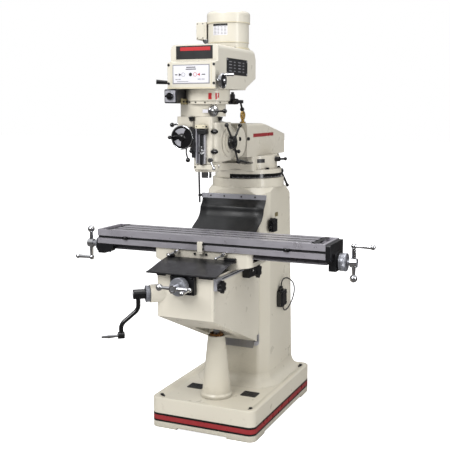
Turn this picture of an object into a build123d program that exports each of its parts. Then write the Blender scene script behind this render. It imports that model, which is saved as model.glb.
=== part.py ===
from build123d import *
from math import atan, cos, degrees, radians, sin, sqrt, tan
import os

# A knee-type vertical milling machine: column and base, knee, saddle, long table,
# swivelling turret, sliding ram and a tilting head with belt drive and motor.
# Millimetres. +Z is up, +X is to the operator's right and -Y is towards the operator.
# The origin is the centre of the base's footprint, on the floor.

# ---- Fits ----
SLIDE_GAP = 0.3
RUN_GAP = 0.05

# ---- Base and column ----
BASE_WIDTH = 582
BASE_DEPTH = 880
BASE_HEIGHT = 163
BASE_CORNER = 38
PAN_FLOOR = 150
RIM = 20
PAN_SLOPE = 28
FOOT_LENGTH = 150
FOOT_HEIGHT = 9
ANCHOR_X = 253
ANCHOR_Y = 388
ANCHOR_RADIUS = 9
ANCHOR_BOSS = 32
COLUMN_HALF = 185
COLUMN_FRONT = -20
COLUMN_BACK = 438
COLUMN_BACK_TOP = 369
COLUMN_FACET_X = 145
COLUMN_FACET_Y = 50
COLUMN_TOP = 1284
COLUMN_CORNER = 24
COLLAR_RADIUS = 199
COLLAR_LOW = 1236
WALL = 26
TURRET_Y = 180
WAY_FRONT = -60
WAY_NARROW = 112
WAY_WIDE = 132
WAY_LOW = 370
WAY_HIGH = 1134

# ---- Pedestal and elevating screw ----
LIFT_Y = -250
PEDESTAL_TOP = 479
PEDESTAL_TOP_RADIUS = 44.5
PEDESTAL_LOW_RADIUS = 76
PEDESTAL_FLANGE_RADIUS = 83
PEDESTAL_BORE = 24
LIFT_RADIUS = 16
LIFT_LOW = 165
LIFT_HIGH = 772

# ---- Knee ----
KNEE_HALF = 152
KNEE_FRONT = -616
KNEE_BACK = -22
KNEE_TOP = 866
KNEE_FRONT_LOW = 651
KNEE_BACK_LOW = 395
KNEE_ROOF_LOW = 786
KNEE_WALL = 26
CHANNEL_HALF = 30
CHANNEL_LOW = 803
CHANNEL_FRONT = -575
CHANNEL_BACK = -60
RAIL_NARROW = 112
RAIL_WIDE = 134
RAIL_TOP = 894
RAIL_FRONT = -530

# ---- Cross feed ----
CROSS_Z = 821
CROSS_RADIUS = 12
CROSS_FRONT = -742
CROSS_CRANK_Y = -722
BRACKET_FRONT = -655

# ---- Knee crank ----
CRANK_POINT = Vector(-190, -632, 762)
CRANK_AXIS = Vector(-0.78, -0.62, 0).normalized()
CRANK_DROP = 200
CRANK_THROW = 86

# ---- Saddle and table ----
SADDLE_HALF = 270
SADDLE_FRONT = -428
SADDLE_BACK = -205
SADDLE_LOW = KNEE_TOP + SLIDE_GAP
SADDLE_TOP = 957.2
TABLE_LENGTH = 1245
TABLE_WIDTH = 229
TABLE_TOP = 1031.5
TABLE_LOW = 957.5
TABLE_X = 21.5
TABLE_Y = -324
TABLE_RIGHT = TABLE_X + TABLE_LENGTH / 2
TABLE_LEFT = TABLE_X - TABLE_LENGTH / 2
TABLE_TAIL_LOW = 928
TABLE_TAIL_NARROW = 70
TABLE_TAIL_WIDE = 86
SLOT_WIDTH = 16
SLOT_PITCH = 63.5
SLOT_NECK = 18
SLOT_FOOT = 27
SLOT_DEPTH = 30
SCREW_Z = 934
SCREW_RADIUS = 14
NUT_HALF = 22

# ---- Turret and ram ----
TURRET_RADIUS = 185
TURRET_RING_TOP = 1332
TURRET_LOW = COLUMN_TOP + SLIDE_GAP
RAM_HALF = 100
RAM_LOW = 1405
RAM_TOP = 1580
RAM_FRONT = -80
RAM_BACK = 490
RAM_TAIL_LOW = 1368
RAM_TAIL_NARROW = 62
RAM_TAIL_WIDE = 80

# ---- Adapter and head ----
TILT_Z = 1489
NOD_Y = -160
NOD_RADIUS = 75
TONGUE_HALF = 38
TONGUE_RADIUS = 34
PIN_RADIUS = 15
FLANGE_RADIUS = 105
FLANGE_BACK = -196
FLANGE_FACE = -236
SPIGOT_RADIUS = 30
SPINDLE_Y = -365
HEAD_LOW = 1382
COLLAR_BOTTOM = 1348
HEAD_TOP = 1619
QUILL_RADIUS = 42.85
SPINDLE_RADIUS = 25
NOSE_Z = 1316
BORE_RADIUS = 12.05
MOUTH_RADIUS = 15.9
PINION_Y = -306
PINION_Z = 1491
HUB_X = 106
DRUM_TOP = 1750
HOUSING_LOW = DRUM_TOP
HOUSING_TOP = 1958
PULLEY_LOW = 1815
MOTOR_Y = -95
MOTOR_TOP = 2148

UP = (Align.CENTER, Align.CENTER, Align.MIN)
RIGHT = (1, 0, 0)
FRONT = (0, -1, 0)

os.makedirs("parts", exist_ok=True)


def save(piece, label):
    """Names a finished piece and writes its file."""
    piece.part.label = label
    export_step(piece.part, f"parts/{label}.step")


def rod(start, end, radius, end_radius=None):
    """A round bar between two points, tapered where a second radius is given."""
    axis = Vector(*end) - Vector(*start)
    with BuildPart(Plane(origin=tuple(start), z_dir=tuple(axis))) as bar:
        if end_radius is None:
            Cylinder(radius, axis.length, align=UP)
        else:
            Cone(radius, end_radius, axis.length, align=UP)
    return bar.part


def knobbed_arm(start, end, radius, tip_radius, knob_radius):
    """A tapered arm that ends in a round knob, turned in one piece."""
    axis = Vector(*end) - Vector(*start)
    neck = sqrt(knob_radius**2 - tip_radius**2)
    with BuildPart() as arm:
        with BuildSketch(Plane.XZ):
            with BuildLine():
                Polyline(
                    (0, axis.length + knob_radius),
                    (0, 0),
                    (radius, 0),
                    (tip_radius, axis.length - neck),
                )
                ThreePointArc(
                    (tip_radius, axis.length - neck),
                    (knob_radius, axis.length),
                    (0, axis.length + knob_radius),
                )
            make_face()
        revolve(axis=Axis.Z)
    return Plane(origin=tuple(start), z_dir=tuple(axis)).location * arm.part


def dovetail(narrow, wide, narrow_at, wide_at):
    """The four corners of a dovetail, centred on the first axis."""
    return [(-narrow, narrow_at), (narrow, narrow_at), (wide, wide_at), (-wide, wide_at)]


# ==== Column, base and what is fixed to them ====

COLUMN_OUTLINE = [
    (-COLUMN_FACET_X, COLUMN_FRONT),
    (COLUMN_FACET_X, COLUMN_FRONT),
    (COLUMN_HALF, COLUMN_FACET_Y),
    (COLUMN_HALF, COLUMN_BACK),
    (-COLUMN_HALF, COLUMN_BACK),
    (-COLUMN_HALF, COLUMN_FACET_Y),
]

# The column's shaft, with a back that leans forward as it rises, and corners that are
# turned away below the round collar.
with BuildPart() as column_shaft:
    with BuildSketch(Plane.XY.offset(PAN_FLOOR)):
        Polygon(*COLUMN_OUTLINE, align=None)
    extrude(amount=COLUMN_TOP - PAN_FLOOR)
    with BuildSketch(Plane.YZ):
        Polygon(
            (COLUMN_BACK, PAN_FLOOR),
            (COLUMN_BACK_TOP, COLUMN_TOP),
            (COLUMN_BACK + 1, COLUMN_TOP),
            (COLUMN_BACK + 1, PAN_FLOOR),
            align=None,
        )
    extrude(amount=COLUMN_HALF + 1, both=True, mode=Mode.SUBTRACT)
    fillet(column_shaft.edges().filter_by(lambda edge: abs((edge % 0.5).Z) > 0.9), COLUMN_CORNER)
    with BuildSketch(Plane.YZ) as cone_sketch:
        with BuildLine():
            Polyline(
                (TURRET_Y, 0),
                (TURRET_Y + 600, 0),
                (TURRET_Y + 600, COLLAR_LOW - 395),
                (TURRET_Y + COLLAR_RADIUS + 4, COLLAR_LOW + 1),
                (TURRET_Y, COLLAR_LOW + 1),
                close=True,
            )
        make_face()
    revolve(axis=Axis((0, TURRET_Y, 0), (0, 0, 1)), mode=Mode.INTERSECT)

with BuildPart() as column_base:
    with BuildSketch():
        RectangleRounded(BASE_WIDTH, BASE_DEPTH, BASE_CORNER)
    extrude(amount=BASE_HEIGHT)
    with BuildSketch(Plane.XY.offset(PAN_FLOOR)):
        RectangleRounded(
            BASE_WIDTH - 2 * RIM - 2 * PAN_SLOPE,
            BASE_DEPTH - 2 * RIM - 2 * PAN_SLOPE,
            BASE_CORNER - RIM,
        )
    extrude(
        amount=BASE_HEIGHT - PAN_FLOOR,
        taper=-degrees(atan(PAN_SLOPE / (BASE_HEIGHT - PAN_FLOOR))),
        mode=Mode.SUBTRACT,
    )
    chamfer(column_base.edges().group_by(Axis.Z)[-1], 4)
    add(column_shaft.part)
    with Locations((0, TURRET_Y, COLLAR_LOW - 2)):
        Cylinder(COLLAR_RADIUS, COLUMN_TOP - COLLAR_LOW + 2, align=UP)
    # The base is hollow from below, and the column is hollow above it.
    with Locations((0, 0, 0)):
        Box(BASE_WIDTH - 2 * WALL, BASE_DEPTH - 2 * WALL, PAN_FLOOR - WALL, align=UP, mode=Mode.SUBTRACT)
    with Locations((0, TURRET_Y, 0)):
        Box(2 * (COLUMN_HALF - WALL - 10), 320, COLLAR_LOW - 90, align=UP, mode=Mode.SUBTRACT)
    # Only the four corner feet touch the floor.
    with Locations((0, 0, 0)):
        Box(BASE_WIDTH + 2, BASE_DEPTH - 2 * FOOT_LENGTH, FOOT_HEIGHT, align=UP, mode=Mode.SUBTRACT)
        Box(BASE_WIDTH - 2 * FOOT_LENGTH, BASE_DEPTH + 2, FOOT_HEIGHT, align=UP, mode=Mode.SUBTRACT)
    # Corner bosses carry the anchor holes down to the feet.
    with Locations(*[(x, y, 0) for x in (-ANCHOR_X, ANCHOR_X) for y in (-ANCHOR_Y, ANCHOR_Y)]):
        Cylinder(ANCHOR_BOSS, PAN_FLOOR - 1, align=UP)
        Cylinder(ANCHOR_RADIUS, BASE_HEIGHT, align=UP, mode=Mode.SUBTRACT)
    # The elevating screw passes through the pan.
    with Locations((0, LIFT_Y, 0)):
        Cylinder(30, PAN_FLOOR, align=UP, mode=Mode.SUBTRACT)
save(column_base, "column_base")

with BuildPart() as column_ways:
    with BuildSketch(Plane.XY.offset(WAY_LOW)):
        Polygon(*dovetail(WAY_NARROW, WAY_WIDE, COLUMN_FRONT, WAY_FRONT), align=None)
    extrude(amount=WAY_HIGH - WAY_LOW)
save(column_ways, "column_ways")

with BuildPart() as pedestal:
    with BuildSketch(Plane.YZ):
        with BuildLine():
            Polyline(
                (LIFT_Y + PEDESTAL_BORE, PAN_FLOOR),
                (LIFT_Y + PEDESTAL_FLANGE_RADIUS, PAN_FLOOR),
                (LIFT_Y + PEDESTAL_FLANGE_RADIUS, PAN_FLOOR + 14),
                (LIFT_Y + PEDESTAL_LOW_RADIUS, PAN_FLOOR + 24),
                (LIFT_Y + PEDESTAL_TOP_RADIUS, PEDESTAL_TOP),
                (LIFT_Y + PEDESTAL_BORE, PEDESTAL_TOP),
                close=True,
            )
        make_face()
    revolve(axis=Axis((0, LIFT_Y, 0), (0, 0, 1)))
save(pedestal, "pedestal")

with BuildPart() as elevating_nut:
    with Locations((0, LIFT_Y, PEDESTAL_TOP)):
        Cylinder(36, 11, align=UP)
    with Locations((0, LIFT_Y, PEDESTAL_TOP - 70)):
        Cylinder(PEDESTAL_BORE - RUN_GAP, 70, align=UP)
        Cylinder(LIFT_RADIUS + RUN_GAP, 90, align=UP, mode=Mode.SUBTRACT)
save(elevating_nut, "elevating_nut")

STRIP_LOW = 1177
STRIP_HIGH = 1203
STRIP_HALF = 188
STRIP_FRONT = -29
with BuildPart() as guard_strip:
    with Locations((0, STRIP_FRONT, STRIP_LOW)):
        Box(
            2 * STRIP_HALF,
            COLUMN_FRONT - STRIP_FRONT,
            STRIP_HIGH - STRIP_LOW,
            align=(Align.CENTER, Align.MIN, Align.MIN),
        )
save(guard_strip, "guard_strip")

# The rear guard is a rubber flap that hangs from the strip to the table's back edge.
GUARD_THICK = 3
with BuildPart() as rear_guard:
    with BuildSketch(Plane.YZ) as guard_sketch:
        with BuildLine():
            Polyline(
                (STRIP_FRONT + GUARD_THICK, STRIP_LOW - SLIDE_GAP),
                (-43, 1152),
                (-61, 1136),
                (-67, 1106),
                (-82, 1078),
                (-113, 1050),
                (-144, 1034),
                (-166, 1032.5),
                (-166, 1035.5),
                (-145, 1037),
                (-115, 1053),
                (-84, 1081),
                (-70, 1108),
                (-64, 1138),
                (-46, 1154),
                (STRIP_FRONT, STRIP_LOW - SLIDE_GAP),
                close=True,
            )
        make_face()
    extrude(amount=186, both=True)
save(rear_guard, "rear_guard")

PIPE_ROUTE = [(-194, -44, 1150), (-200, -40, 1322), (-196, -64, 1334)]
with BuildPart() as coolant_pipe:
    with BuildLine() as pipe_line:
        FilletPolyline(*PIPE_ROUTE, radius=12)
    with BuildSketch(Plane(origin=pipe_line.line @ 0, z_dir=pipe_line.line % 0)):
        Circle(5)
    sweep()
    with Locations((-194, -35, 1190)):
        Box(12, 30, 12)
save(coolant_pipe, "coolant_pipe")

BOX_DEPTH = 30
LOOP_X = COLUMN_HALF + BOX_DEPTH / 2
GLAND_Y = 186
LOOP_RADIUS = 3.5
with BuildPart() as column_boxes:
    with Locations((COLUMN_HALF, 26, 1000)):
        Box(28, 56, 67, align=(Align.MIN, Align.MIN, Align.MIN))
    with Locations((COLUMN_HALF, 159, 557)):
        Box(BOX_DEPTH, 82, 89, align=(Align.MIN, Align.MIN, Align.MIN))
    with Locations((LOOP_X, GLAND_Y, 646)):
        Cylinder(10, 26, align=UP)
    fillet(column_boxes.edges().group_by(Axis.X)[-1], 4)
save(column_boxes, "column_boxes")

LOOP_ROUTE = [
    (LOOP_X, GLAND_Y, 672),
    (LOOP_X, GLAND_Y + 4, 692),
    (LOOP_X + 1, GLAND_Y + 28, 708),
    (LOOP_X + 2, 262, 706),
    (LOOP_X + 5, 318, 688),
    (LOOP_X + 8, 376, 654),
    (LOOP_X + 9, 392, 606),
    (LOOP_X + 7, 358, 556),
    (LOOP_X + 3, 300, 522),
    (LOOP_X, 232, 514),
    (LOOP_X, 212, 556),
]


def arc_radii(route):
    """The arc at each corner of a cord: 0.45 of the shorter run over the half turn's tangent."""
    points = [Vector(*p) for p in route]
    radii = []
    for before, here, after in zip(points, points[1:], points[2:]):
        turn = (here - before).get_angle(after - here)
        shorter = min((here - before).length, (after - here).length)
        radii.append(0.45 * shorter / tan(radians(turn) / 2))
    return radii


with BuildPart() as cable_loop:
    with BuildLine() as loop_line:
        FilletPolyline(*LOOP_ROUTE, radius=arc_radii(LOOP_ROUTE))
    with BuildSketch(Plane(origin=loop_line.line @ 0, z_dir=loop_line.line % 0)):
        Circle(LOOP_RADIUS)
    sweep()
save(cable_loop, "cable_loop")


# ==== Knee and what is fixed to it ====

KNEE_OUTLINE = [
    (KNEE_FRONT, KNEE_FRONT_LOW),
    (KNEE_BACK, KNEE_BACK_LOW),
    (KNEE_BACK, KNEE_TOP),
    (KNEE_FRONT, KNEE_TOP),
]
KNEE_SLOPE = (KNEE_BACK_LOW - KNEE_FRONT_LOW) / (KNEE_BACK - KNEE_FRONT)
CAVITY_FRONT = KNEE_FRONT + 30
CAVITY_BACK = -112


def knee_floor(y):
    """The height of the knee's sloping underside at one depth."""
    return KNEE_FRONT_LOW + (y - KNEE_FRONT) * KNEE_SLOPE


BOSS_RADIUS = 44.5
crank_boss = rod(CRANK_POINT - CRANK_AXIS * 125, CRANK_POINT - CRANK_AXIS * 8, BOSS_RADIUS)
crank_bore = rod(CRANK_POINT - CRANK_AXIS * 180, CRANK_POINT, 14 + RUN_GAP)
with BuildPart() as knee:
    with BuildSketch(Plane.YZ):
        Polygon(*KNEE_OUTLINE, align=None)
    extrude(amount=KNEE_HALF, both=True)
    fillet(knee.edges().filter_by(Axis.Z), 12)
    # The hollow inside, with a window in the underside for the pedestal.
    with BuildSketch(Plane.YZ):
        Polygon(
            (CAVITY_FRONT, knee_floor(CAVITY_FRONT) + KNEE_WALL),
            (CAVITY_BACK, knee_floor(CAVITY_BACK) + KNEE_WALL),
            (CAVITY_BACK, KNEE_ROOF_LOW),
            (CAVITY_FRONT, KNEE_ROOF_LOW),
            align=None,
        )
    extrude(amount=KNEE_HALF - KNEE_WALL, both=True, mode=Mode.SUBTRACT)
    with BuildSketch(Plane.XY.offset(KNEE_BACK_LOW)):
        with Locations((0, LIFT_Y - 10)):
            Rectangle(176, 190)
    extrude(amount=KNEE_FRONT_LOW - KNEE_BACK_LOW, mode=Mode.SUBTRACT)
    add(crank_boss)
    add(crank_bore, mode=Mode.SUBTRACT)
    # The slot that rides on the column's ways.
    with BuildSketch(Plane.XY.offset(KNEE_BACK_LOW - 10)):
        Polygon(
            *dovetail(
                WAY_NARROW + SLIDE_GAP,
                WAY_WIDE + SLIDE_GAP,
                COLUMN_FRONT + 1,
                WAY_FRONT - SLIDE_GAP,
            ),
            align=None,
        )
    extrude(amount=KNEE_TOP - KNEE_BACK_LOW + 60, mode=Mode.SUBTRACT)
    # The channel under the saddle for the cross screw and its nut.
    with Locations((0, CHANNEL_FRONT, CHANNEL_LOW)):
        Box(
            2 * CHANNEL_HALF,
            CHANNEL_BACK - CHANNEL_FRONT,
            KNEE_TOP - CHANNEL_LOW,
            align=(Align.CENTER, Align.MIN, Align.MIN),
            mode=Mode.SUBTRACT,
        )
    with Locations(Plane(origin=(0, CHANNEL_FRONT, CROSS_Z), z_dir=FRONT)):
        Cylinder(CROSS_RADIUS + RUN_GAP, 60, align=UP, mode=Mode.SUBTRACT)
save(knee, "knee")

with BuildPart() as knee_ways:
    with BuildSketch(Plane.XZ.offset(-RAIL_FRONT)):
        Polygon(*dovetail(RAIL_NARROW, RAIL_WIDE, KNEE_TOP, RAIL_TOP), align=None)
    extrude(amount=RAIL_FRONT - WAY_FRONT + 3)
    with Locations((0, CHANNEL_FRONT, KNEE_TOP)):
        Box(
            2 * CHANNEL_HALF,
            600,
            RAIL_TOP - KNEE_TOP,
            align=(Align.CENTER, Align.MIN, Align.MIN),
            mode=Mode.SUBTRACT,
        )
save(knee_ways, "knee_ways")

with BuildPart() as cross_bracket:
    with Locations((0, KNEE_FRONT, 776)):
        Box(128, KNEE_FRONT - BRACKET_FRONT - 14, 89, align=(Align.CENTER, Align.MAX, Align.MIN))
    with Locations(Plane(origin=(0, KNEE_FRONT, CROSS_Z), z_dir=FRONT)):
        Cylinder(36, KNEE_FRONT - BRACKET_FRONT, align=UP)
        Cylinder(CROSS_RADIUS + RUN_GAP, 60, align=UP, mode=Mode.SUBTRACT)
save(cross_bracket, "cross_bracket")

RAIL_Z = 846
with BuildPart() as stop_rail:
    with Locations((KNEE_HALF, KNEE_FRONT + 6, RAIL_Z - 8)):
        Box(9, 470, 16, align=(Align.MIN, Align.MIN, Align.MIN))
    with Locations((KNEE_HALF, KNEE_FRONT + 6, RAIL_Z - 45)):
        Box(16, 62, 58, align=(Align.MIN, Align.MIN, Align.MIN))
save(stop_rail, "stop_rail")


def star_knob(centre, direction, radius, stem):
    """A lobed clamping knob on a short stud."""
    face = Plane(origin=tuple(centre), z_dir=direction)
    with BuildPart(face) as knob:
        Cylinder(6, stem, align=UP)
        with BuildSketch(face.offset(stem)):
            Circle(radius * 0.72)
            with PolarLocations(radius * 0.7, 6):
                Circle(radius * 0.3)
        extrude(amount=radius * 0.5)
    return knob


KNEE_KNOB = (KNEE_HALF + 16 + SLIDE_GAP, -582, 818)
knee_lock_knob = star_knob(KNEE_KNOB, RIGHT, 31, 8)
save(knee_lock_knob, "knee_lock_knob")

KNEE_CLAMP = (KNEE_HALF + SLIDE_GAP, -125, 813)
knee_clamp_knob = star_knob(KNEE_CLAMP, RIGHT, 36, 22)
save(knee_clamp_knob, "knee_clamp_knob")

# ==== Saddle ====

CHANNEL_DEPTH = 18
LOCK_LEFT = -128
LOCK_RIGHT = 130
LOCK_Z = 946
LOCK_FRONT = -442

with BuildPart() as saddle:
    with BuildSketch(Plane.XZ.offset(-SADDLE_BACK)):
        Polygon(
            (-KNEE_HALF, SADDLE_LOW),
            (KNEE_HALF, SADDLE_LOW),
            (SADDLE_HALF, SADDLE_LOW + 22),
            (SADDLE_HALF, SADDLE_TOP),
            (-SADDLE_HALF, SADDLE_TOP),
            (-SADDLE_HALF, SADDLE_LOW + 38),
            align=None,
        )
    extrude(amount=SADDLE_BACK - SADDLE_FRONT)
    fillet(saddle.edges().filter_by(Axis.Z), 30)
    with BuildSketch(Plane.XZ.offset(-SADDLE_BACK - 5)):
        Polygon(
            *dovetail(
                RAIL_NARROW + 2 * SLIDE_GAP,
                RAIL_WIDE + 2 * SLIDE_GAP,
                KNEE_TOP,
                RAIL_TOP + SLIDE_GAP,
            ),
            align=None,
        )
    extrude(amount=SADDLE_BACK - SADDLE_FRONT + 10, mode=Mode.SUBTRACT)
    with BuildSketch(Plane.YZ.offset(-SADDLE_HALF - 5)) as tail_sketch:
        with Locations((TABLE_Y, 0)):
            Polygon(
                *dovetail(
                    TABLE_TAIL_NARROW + 2 * SLIDE_GAP,
                    TABLE_TAIL_WIDE + 2 * SLIDE_GAP,
                    SADDLE_TOP,
                    TABLE_TAIL_LOW - SLIDE_GAP,
                ),
                align=None,
            )
            with Locations((0, TABLE_TAIL_LOW - CHANNEL_DEPTH / 2)):
                Rectangle(2 * TABLE_TAIL_WIDE - 12, CHANNEL_DEPTH)
    extrude(amount=2 * SADDLE_HALF + 10, mode=Mode.SUBTRACT)
    # Bosses for the two lock levers, which stand in front of the table's face.
    lock_faces = [Plane(origin=(x, SADDLE_FRONT + 2, LOCK_Z), z_dir=FRONT) for x in (LOCK_LEFT, LOCK_RIGHT)]
    with Locations(*lock_faces):
        Cylinder(10, SADDLE_FRONT + 2 - LOCK_FRONT, align=UP)
save(saddle, "saddle")

with BuildPart() as cross_nut:
    with Locations((0, -310, RAIL_TOP + SLIDE_GAP)):
        Box(48, 50, 86, align=(Align.CENTER, Align.CENTER, Align.MAX))
    with Locations(Plane(origin=(0, -280, CROSS_Z), z_dir=FRONT)):
        Cylinder(CROSS_RADIUS + RUN_GAP, 60, align=UP, mode=Mode.SUBTRACT)
save(cross_nut, "cross_nut")

with BuildPart() as table_nut:
    with Locations((0, TABLE_Y, TABLE_TAIL_LOW - 18)):
        Box(90, 2 * NUT_HALF, 41, align=UP)
    with Locations(Plane(origin=(-60, TABLE_Y, SCREW_Z), z_dir=RIGHT)):
        Cylinder(SCREW_RADIUS + RUN_GAP, 120, align=UP, mode=Mode.SUBTRACT)
save(table_nut, "table_nut")

# The front apron is a rubber sheet from the saddle's front edge to the end of the knee.
with BuildPart() as front_guard:
    with BuildSketch(Plane.YZ):
        Polygon(
            (SADDLE_FRONT - 0.1, 912),
            (-440, 912),
            (-657, 872),
            (-658, 876),
            (-440, 916),
            (SADDLE_FRONT - 0.1, 916),
            align=None,
        )
    extrude(amount=188, both=True)
save(front_guard, "front_guard")


def lock_lever(x_top, x_end, z_end, label):
    """A saddle lock: a stud in front of a boss of the saddle, with a ball lever on it."""
    shaft_y = -455
    stud = rod((x_top, LOCK_FRONT - SLIDE_GAP, LOCK_Z), (x_top, shaft_y - 9, LOCK_Z), 9)
    arm = knobbed_arm((x_top, shaft_y, LOCK_Z), (x_end, shaft_y - 6, z_end), 5, 4, 8)
    with BuildPart() as lever:
        add(stud)
        add(arm)
    save(lever, label)


lock_lever(LOCK_LEFT, -168, 927, "saddle_lock_left")
lock_lever(LOCK_RIGHT, 94, 928, "saddle_lock_right")

# ==== Table ====


def slot_profile():
    """The corners of a T-slot, centred on the slot, with its mouth at the table's top."""
    neck = SLOT_WIDTH / 2
    foot = SLOT_FOOT / 2
    foot_top = TABLE_TOP - SLOT_NECK
    foot_low = TABLE_TOP - SLOT_DEPTH
    return [
        (-neck, TABLE_TOP + 1),
        (-neck, foot_top),
        (-foot, foot_top),
        (-foot, foot_low),
        (foot, foot_low),
        (foot, foot_top),
        (neck, foot_top),
        (neck, TABLE_TOP + 1),
    ]


with BuildPart() as table:
    with BuildSketch(Plane.YZ.offset(TABLE_LEFT)):
        with Locations((TABLE_Y, (TABLE_LOW + TABLE_TOP) / 2)):
            Rectangle(TABLE_WIDTH, TABLE_TOP - TABLE_LOW)
        with Locations((TABLE_Y, 0)):
            Polygon(
                *dovetail(TABLE_TAIL_NARROW, TABLE_TAIL_WIDE, TABLE_LOW, TABLE_TAIL_LOW),
                align=None,
            )
    extrude(amount=TABLE_LENGTH)
    # Chip troughs at both ends of the working surface.
    with Locations((TABLE_LEFT + 16, TABLE_Y, TABLE_TOP), (TABLE_RIGHT - 16 - 62, TABLE_Y, TABLE_TOP)):
        Box(
            62,
            TABLE_WIDTH - 24,
            20,
            align=(Align.MIN, Align.CENTER, Align.MAX),
            mode=Mode.SUBTRACT,
        )
    with BuildSketch(Plane.YZ.offset(TABLE_LEFT + 70)):
        with Locations(*[(TABLE_Y + n * SLOT_PITCH, 0) for n in (-1, 0, 1)]):
            Polygon(*slot_profile(), align=None)
    extrude(amount=TABLE_LENGTH - 140, mode=Mode.SUBTRACT)
    # The stop groove along the front edge.
    with Locations((TABLE_X, TABLE_Y - TABLE_WIDTH / 2, 992)):
        Box(
            TABLE_LENGTH + 2,
            9,
            13,
            align=(Align.CENTER, Align.MIN, Align.CENTER),
            mode=Mode.SUBTRACT,
        )
    # The screw lies in a channel along the underside.
    with Locations((TABLE_X, TABLE_Y, TABLE_TAIL_LOW - 5)):
        Box(TABLE_LENGTH + 2, 50, 32, align=(Align.CENTER, Align.CENTER, Align.MIN), mode=Mode.SUBTRACT)
save(table, "table")

BRACKET_RADIUS = 40
BRACKET_LOW = 892
BRACKET_HALF = 58
LEFT_FACE = -660
RIGHT_FACE = 685
with BuildPart() as table_brackets:
    with Locations((TABLE_LEFT, TABLE_Y, BRACKET_LOW)):
        Box(36, 2 * BRACKET_HALF, 68, align=(Align.MAX, Align.CENTER, Align.MIN))
    with Locations((TABLE_RIGHT, TABLE_Y, BRACKET_LOW)):
        Box(34, 2 * BRACKET_HALF, 90, align=(Align.MIN, Align.CENTER, Align.MIN))
    with Locations((TABLE_RIGHT, TABLE_Y, 944)):
        Box(22, 218, 84, align=(Align.MIN, Align.CENTER, Align.MIN))
    fillet(table_brackets.edges().filter_by(Axis.X), 10)
    with Locations(Plane(origin=(LEFT_FACE, TABLE_Y, SCREW_Z), z_dir=RIGHT)):
        Cylinder(BRACKET_RADIUS, TABLE_LEFT - LEFT_FACE, align=UP)
    with Locations(Plane(origin=(TABLE_RIGHT, TABLE_Y, SCREW_Z), z_dir=RIGHT)):
        Cylinder(BRACKET_RADIUS, RIGHT_FACE - TABLE_RIGHT, align=UP)
    with Locations(Plane(origin=(-800, TABLE_Y, SCREW_Z), z_dir=RIGHT)):
        Cylinder(SCREW_RADIUS + RUN_GAP, 1600, align=UP, mode=Mode.SUBTRACT)
save(table_brackets, "table_brackets")

LEFT_HUB = -716
RIGHT_HUB = 750
table_shaft = rod((LEFT_HUB - 12, TABLE_Y, SCREW_Z), (RIGHT_HUB + 12, TABLE_Y, SCREW_Z), SCREW_RADIUS)
with BuildPart() as table_screw:
    add(table_shaft)
save(table_screw, "table_screw")

with BuildPart() as table_dials:
    with Locations(Plane(origin=(RIGHT_FACE + SLIDE_GAP, TABLE_Y, SCREW_Z), z_dir=RIGHT)):
        Cylinder(43, 32, align=UP)
        Cylinder(SCREW_RADIUS, 60, align=UP, mode=Mode.SUBTRACT)
    with Locations(Plane(origin=(LEFT_FACE - 8, TABLE_Y, SCREW_Z), z_dir=RIGHT)):
        Cylinder(36, 8 - SLIDE_GAP, align=UP)
        Cylinder(SCREW_RADIUS, 60, align=UP, mode=Mode.SUBTRACT)
save(table_dials, "table_dials")

CRANK_RADIUS = 80


def ball_crank(hub_x, side, up):
    """A balanced crank on the table screw: hub, arms, ball and a handle that points outwards."""
    centre = (hub_x, TABLE_Y, SCREW_Z)
    high = (hub_x, TABLE_Y, SCREW_Z + up * CRANK_RADIUS)
    low = (hub_x, TABLE_Y, SCREW_Z - up * (CRANK_RADIUS - 4))
    with BuildPart() as crank:
        add(knobbed_arm(centre, high, 11, 9, 14))
        add(knobbed_arm(centre, low, 11, 8, 19))
        add(knobbed_arm(high, (hub_x + side * 90, TABLE_Y, high[2]), 7, 10, 13))
        add(rod((hub_x - 16, TABLE_Y, SCREW_Z), (hub_x + 16, TABLE_Y, SCREW_Z), 22))
        with Locations(Plane(origin=(hub_x - 30, TABLE_Y, SCREW_Z), z_dir=RIGHT)):
            Cylinder(SCREW_RADIUS, 60, align=UP, mode=Mode.SUBTRACT)
    return crank.part


left_crank = ball_crank(LEFT_HUB, -1, -1)
right_crank = ball_crank(RIGHT_HUB, 1, 1)
with BuildPart() as table_cranks:
    add(left_crank)
    add(right_crank)
save(table_cranks, "table_cranks")

# ==== Cross feed ====

cross_shaft = rod((0, CROSS_FRONT, CROSS_Z), (0, -75, CROSS_Z), CROSS_RADIUS)
with BuildPart() as cross_screw:
    add(cross_shaft)
save(cross_screw, "cross_screw")

with BuildPart() as cross_dial:
    with Locations(Plane(origin=(0, BRACKET_FRONT - SLIDE_GAP, CROSS_Z), z_dir=FRONT)):
        Cylinder(43, 34, align=UP)
        Cylinder(CROSS_RADIUS, 60, align=UP, mode=Mode.SUBTRACT)
save(cross_dial, "cross_dial")

CROSS_GRIP = 79
cross_centre = (0, CROSS_CRANK_Y, CROSS_Z)
cross_end = (CROSS_GRIP, CROSS_CRANK_Y, CROSS_Z)
cross_arms = [
    knobbed_arm(cross_centre, (-CROSS_GRIP, CROSS_CRANK_Y, CROSS_Z), 10, 7, 17),
    knobbed_arm(cross_centre, cross_end, 11, 8, 12),
    knobbed_arm(cross_end, (CROSS_GRIP, CROSS_CRANK_Y - 80, CROSS_Z), 6, 9, 12),
    rod((0, CROSS_CRANK_Y - 20, CROSS_Z), (0, CROSS_CRANK_Y + 28, CROSS_Z), 19),
]
with BuildPart() as cross_crank:
    add(cross_arms)
    with Locations(Plane(origin=(0, CROSS_CRANK_Y + 50, CROSS_Z), z_dir=FRONT)):
        Cylinder(CROSS_RADIUS, 100, align=UP, mode=Mode.SUBTRACT)
save(cross_crank, "cross_crank")

# ==== Knee crank and elevating screw ====


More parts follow.
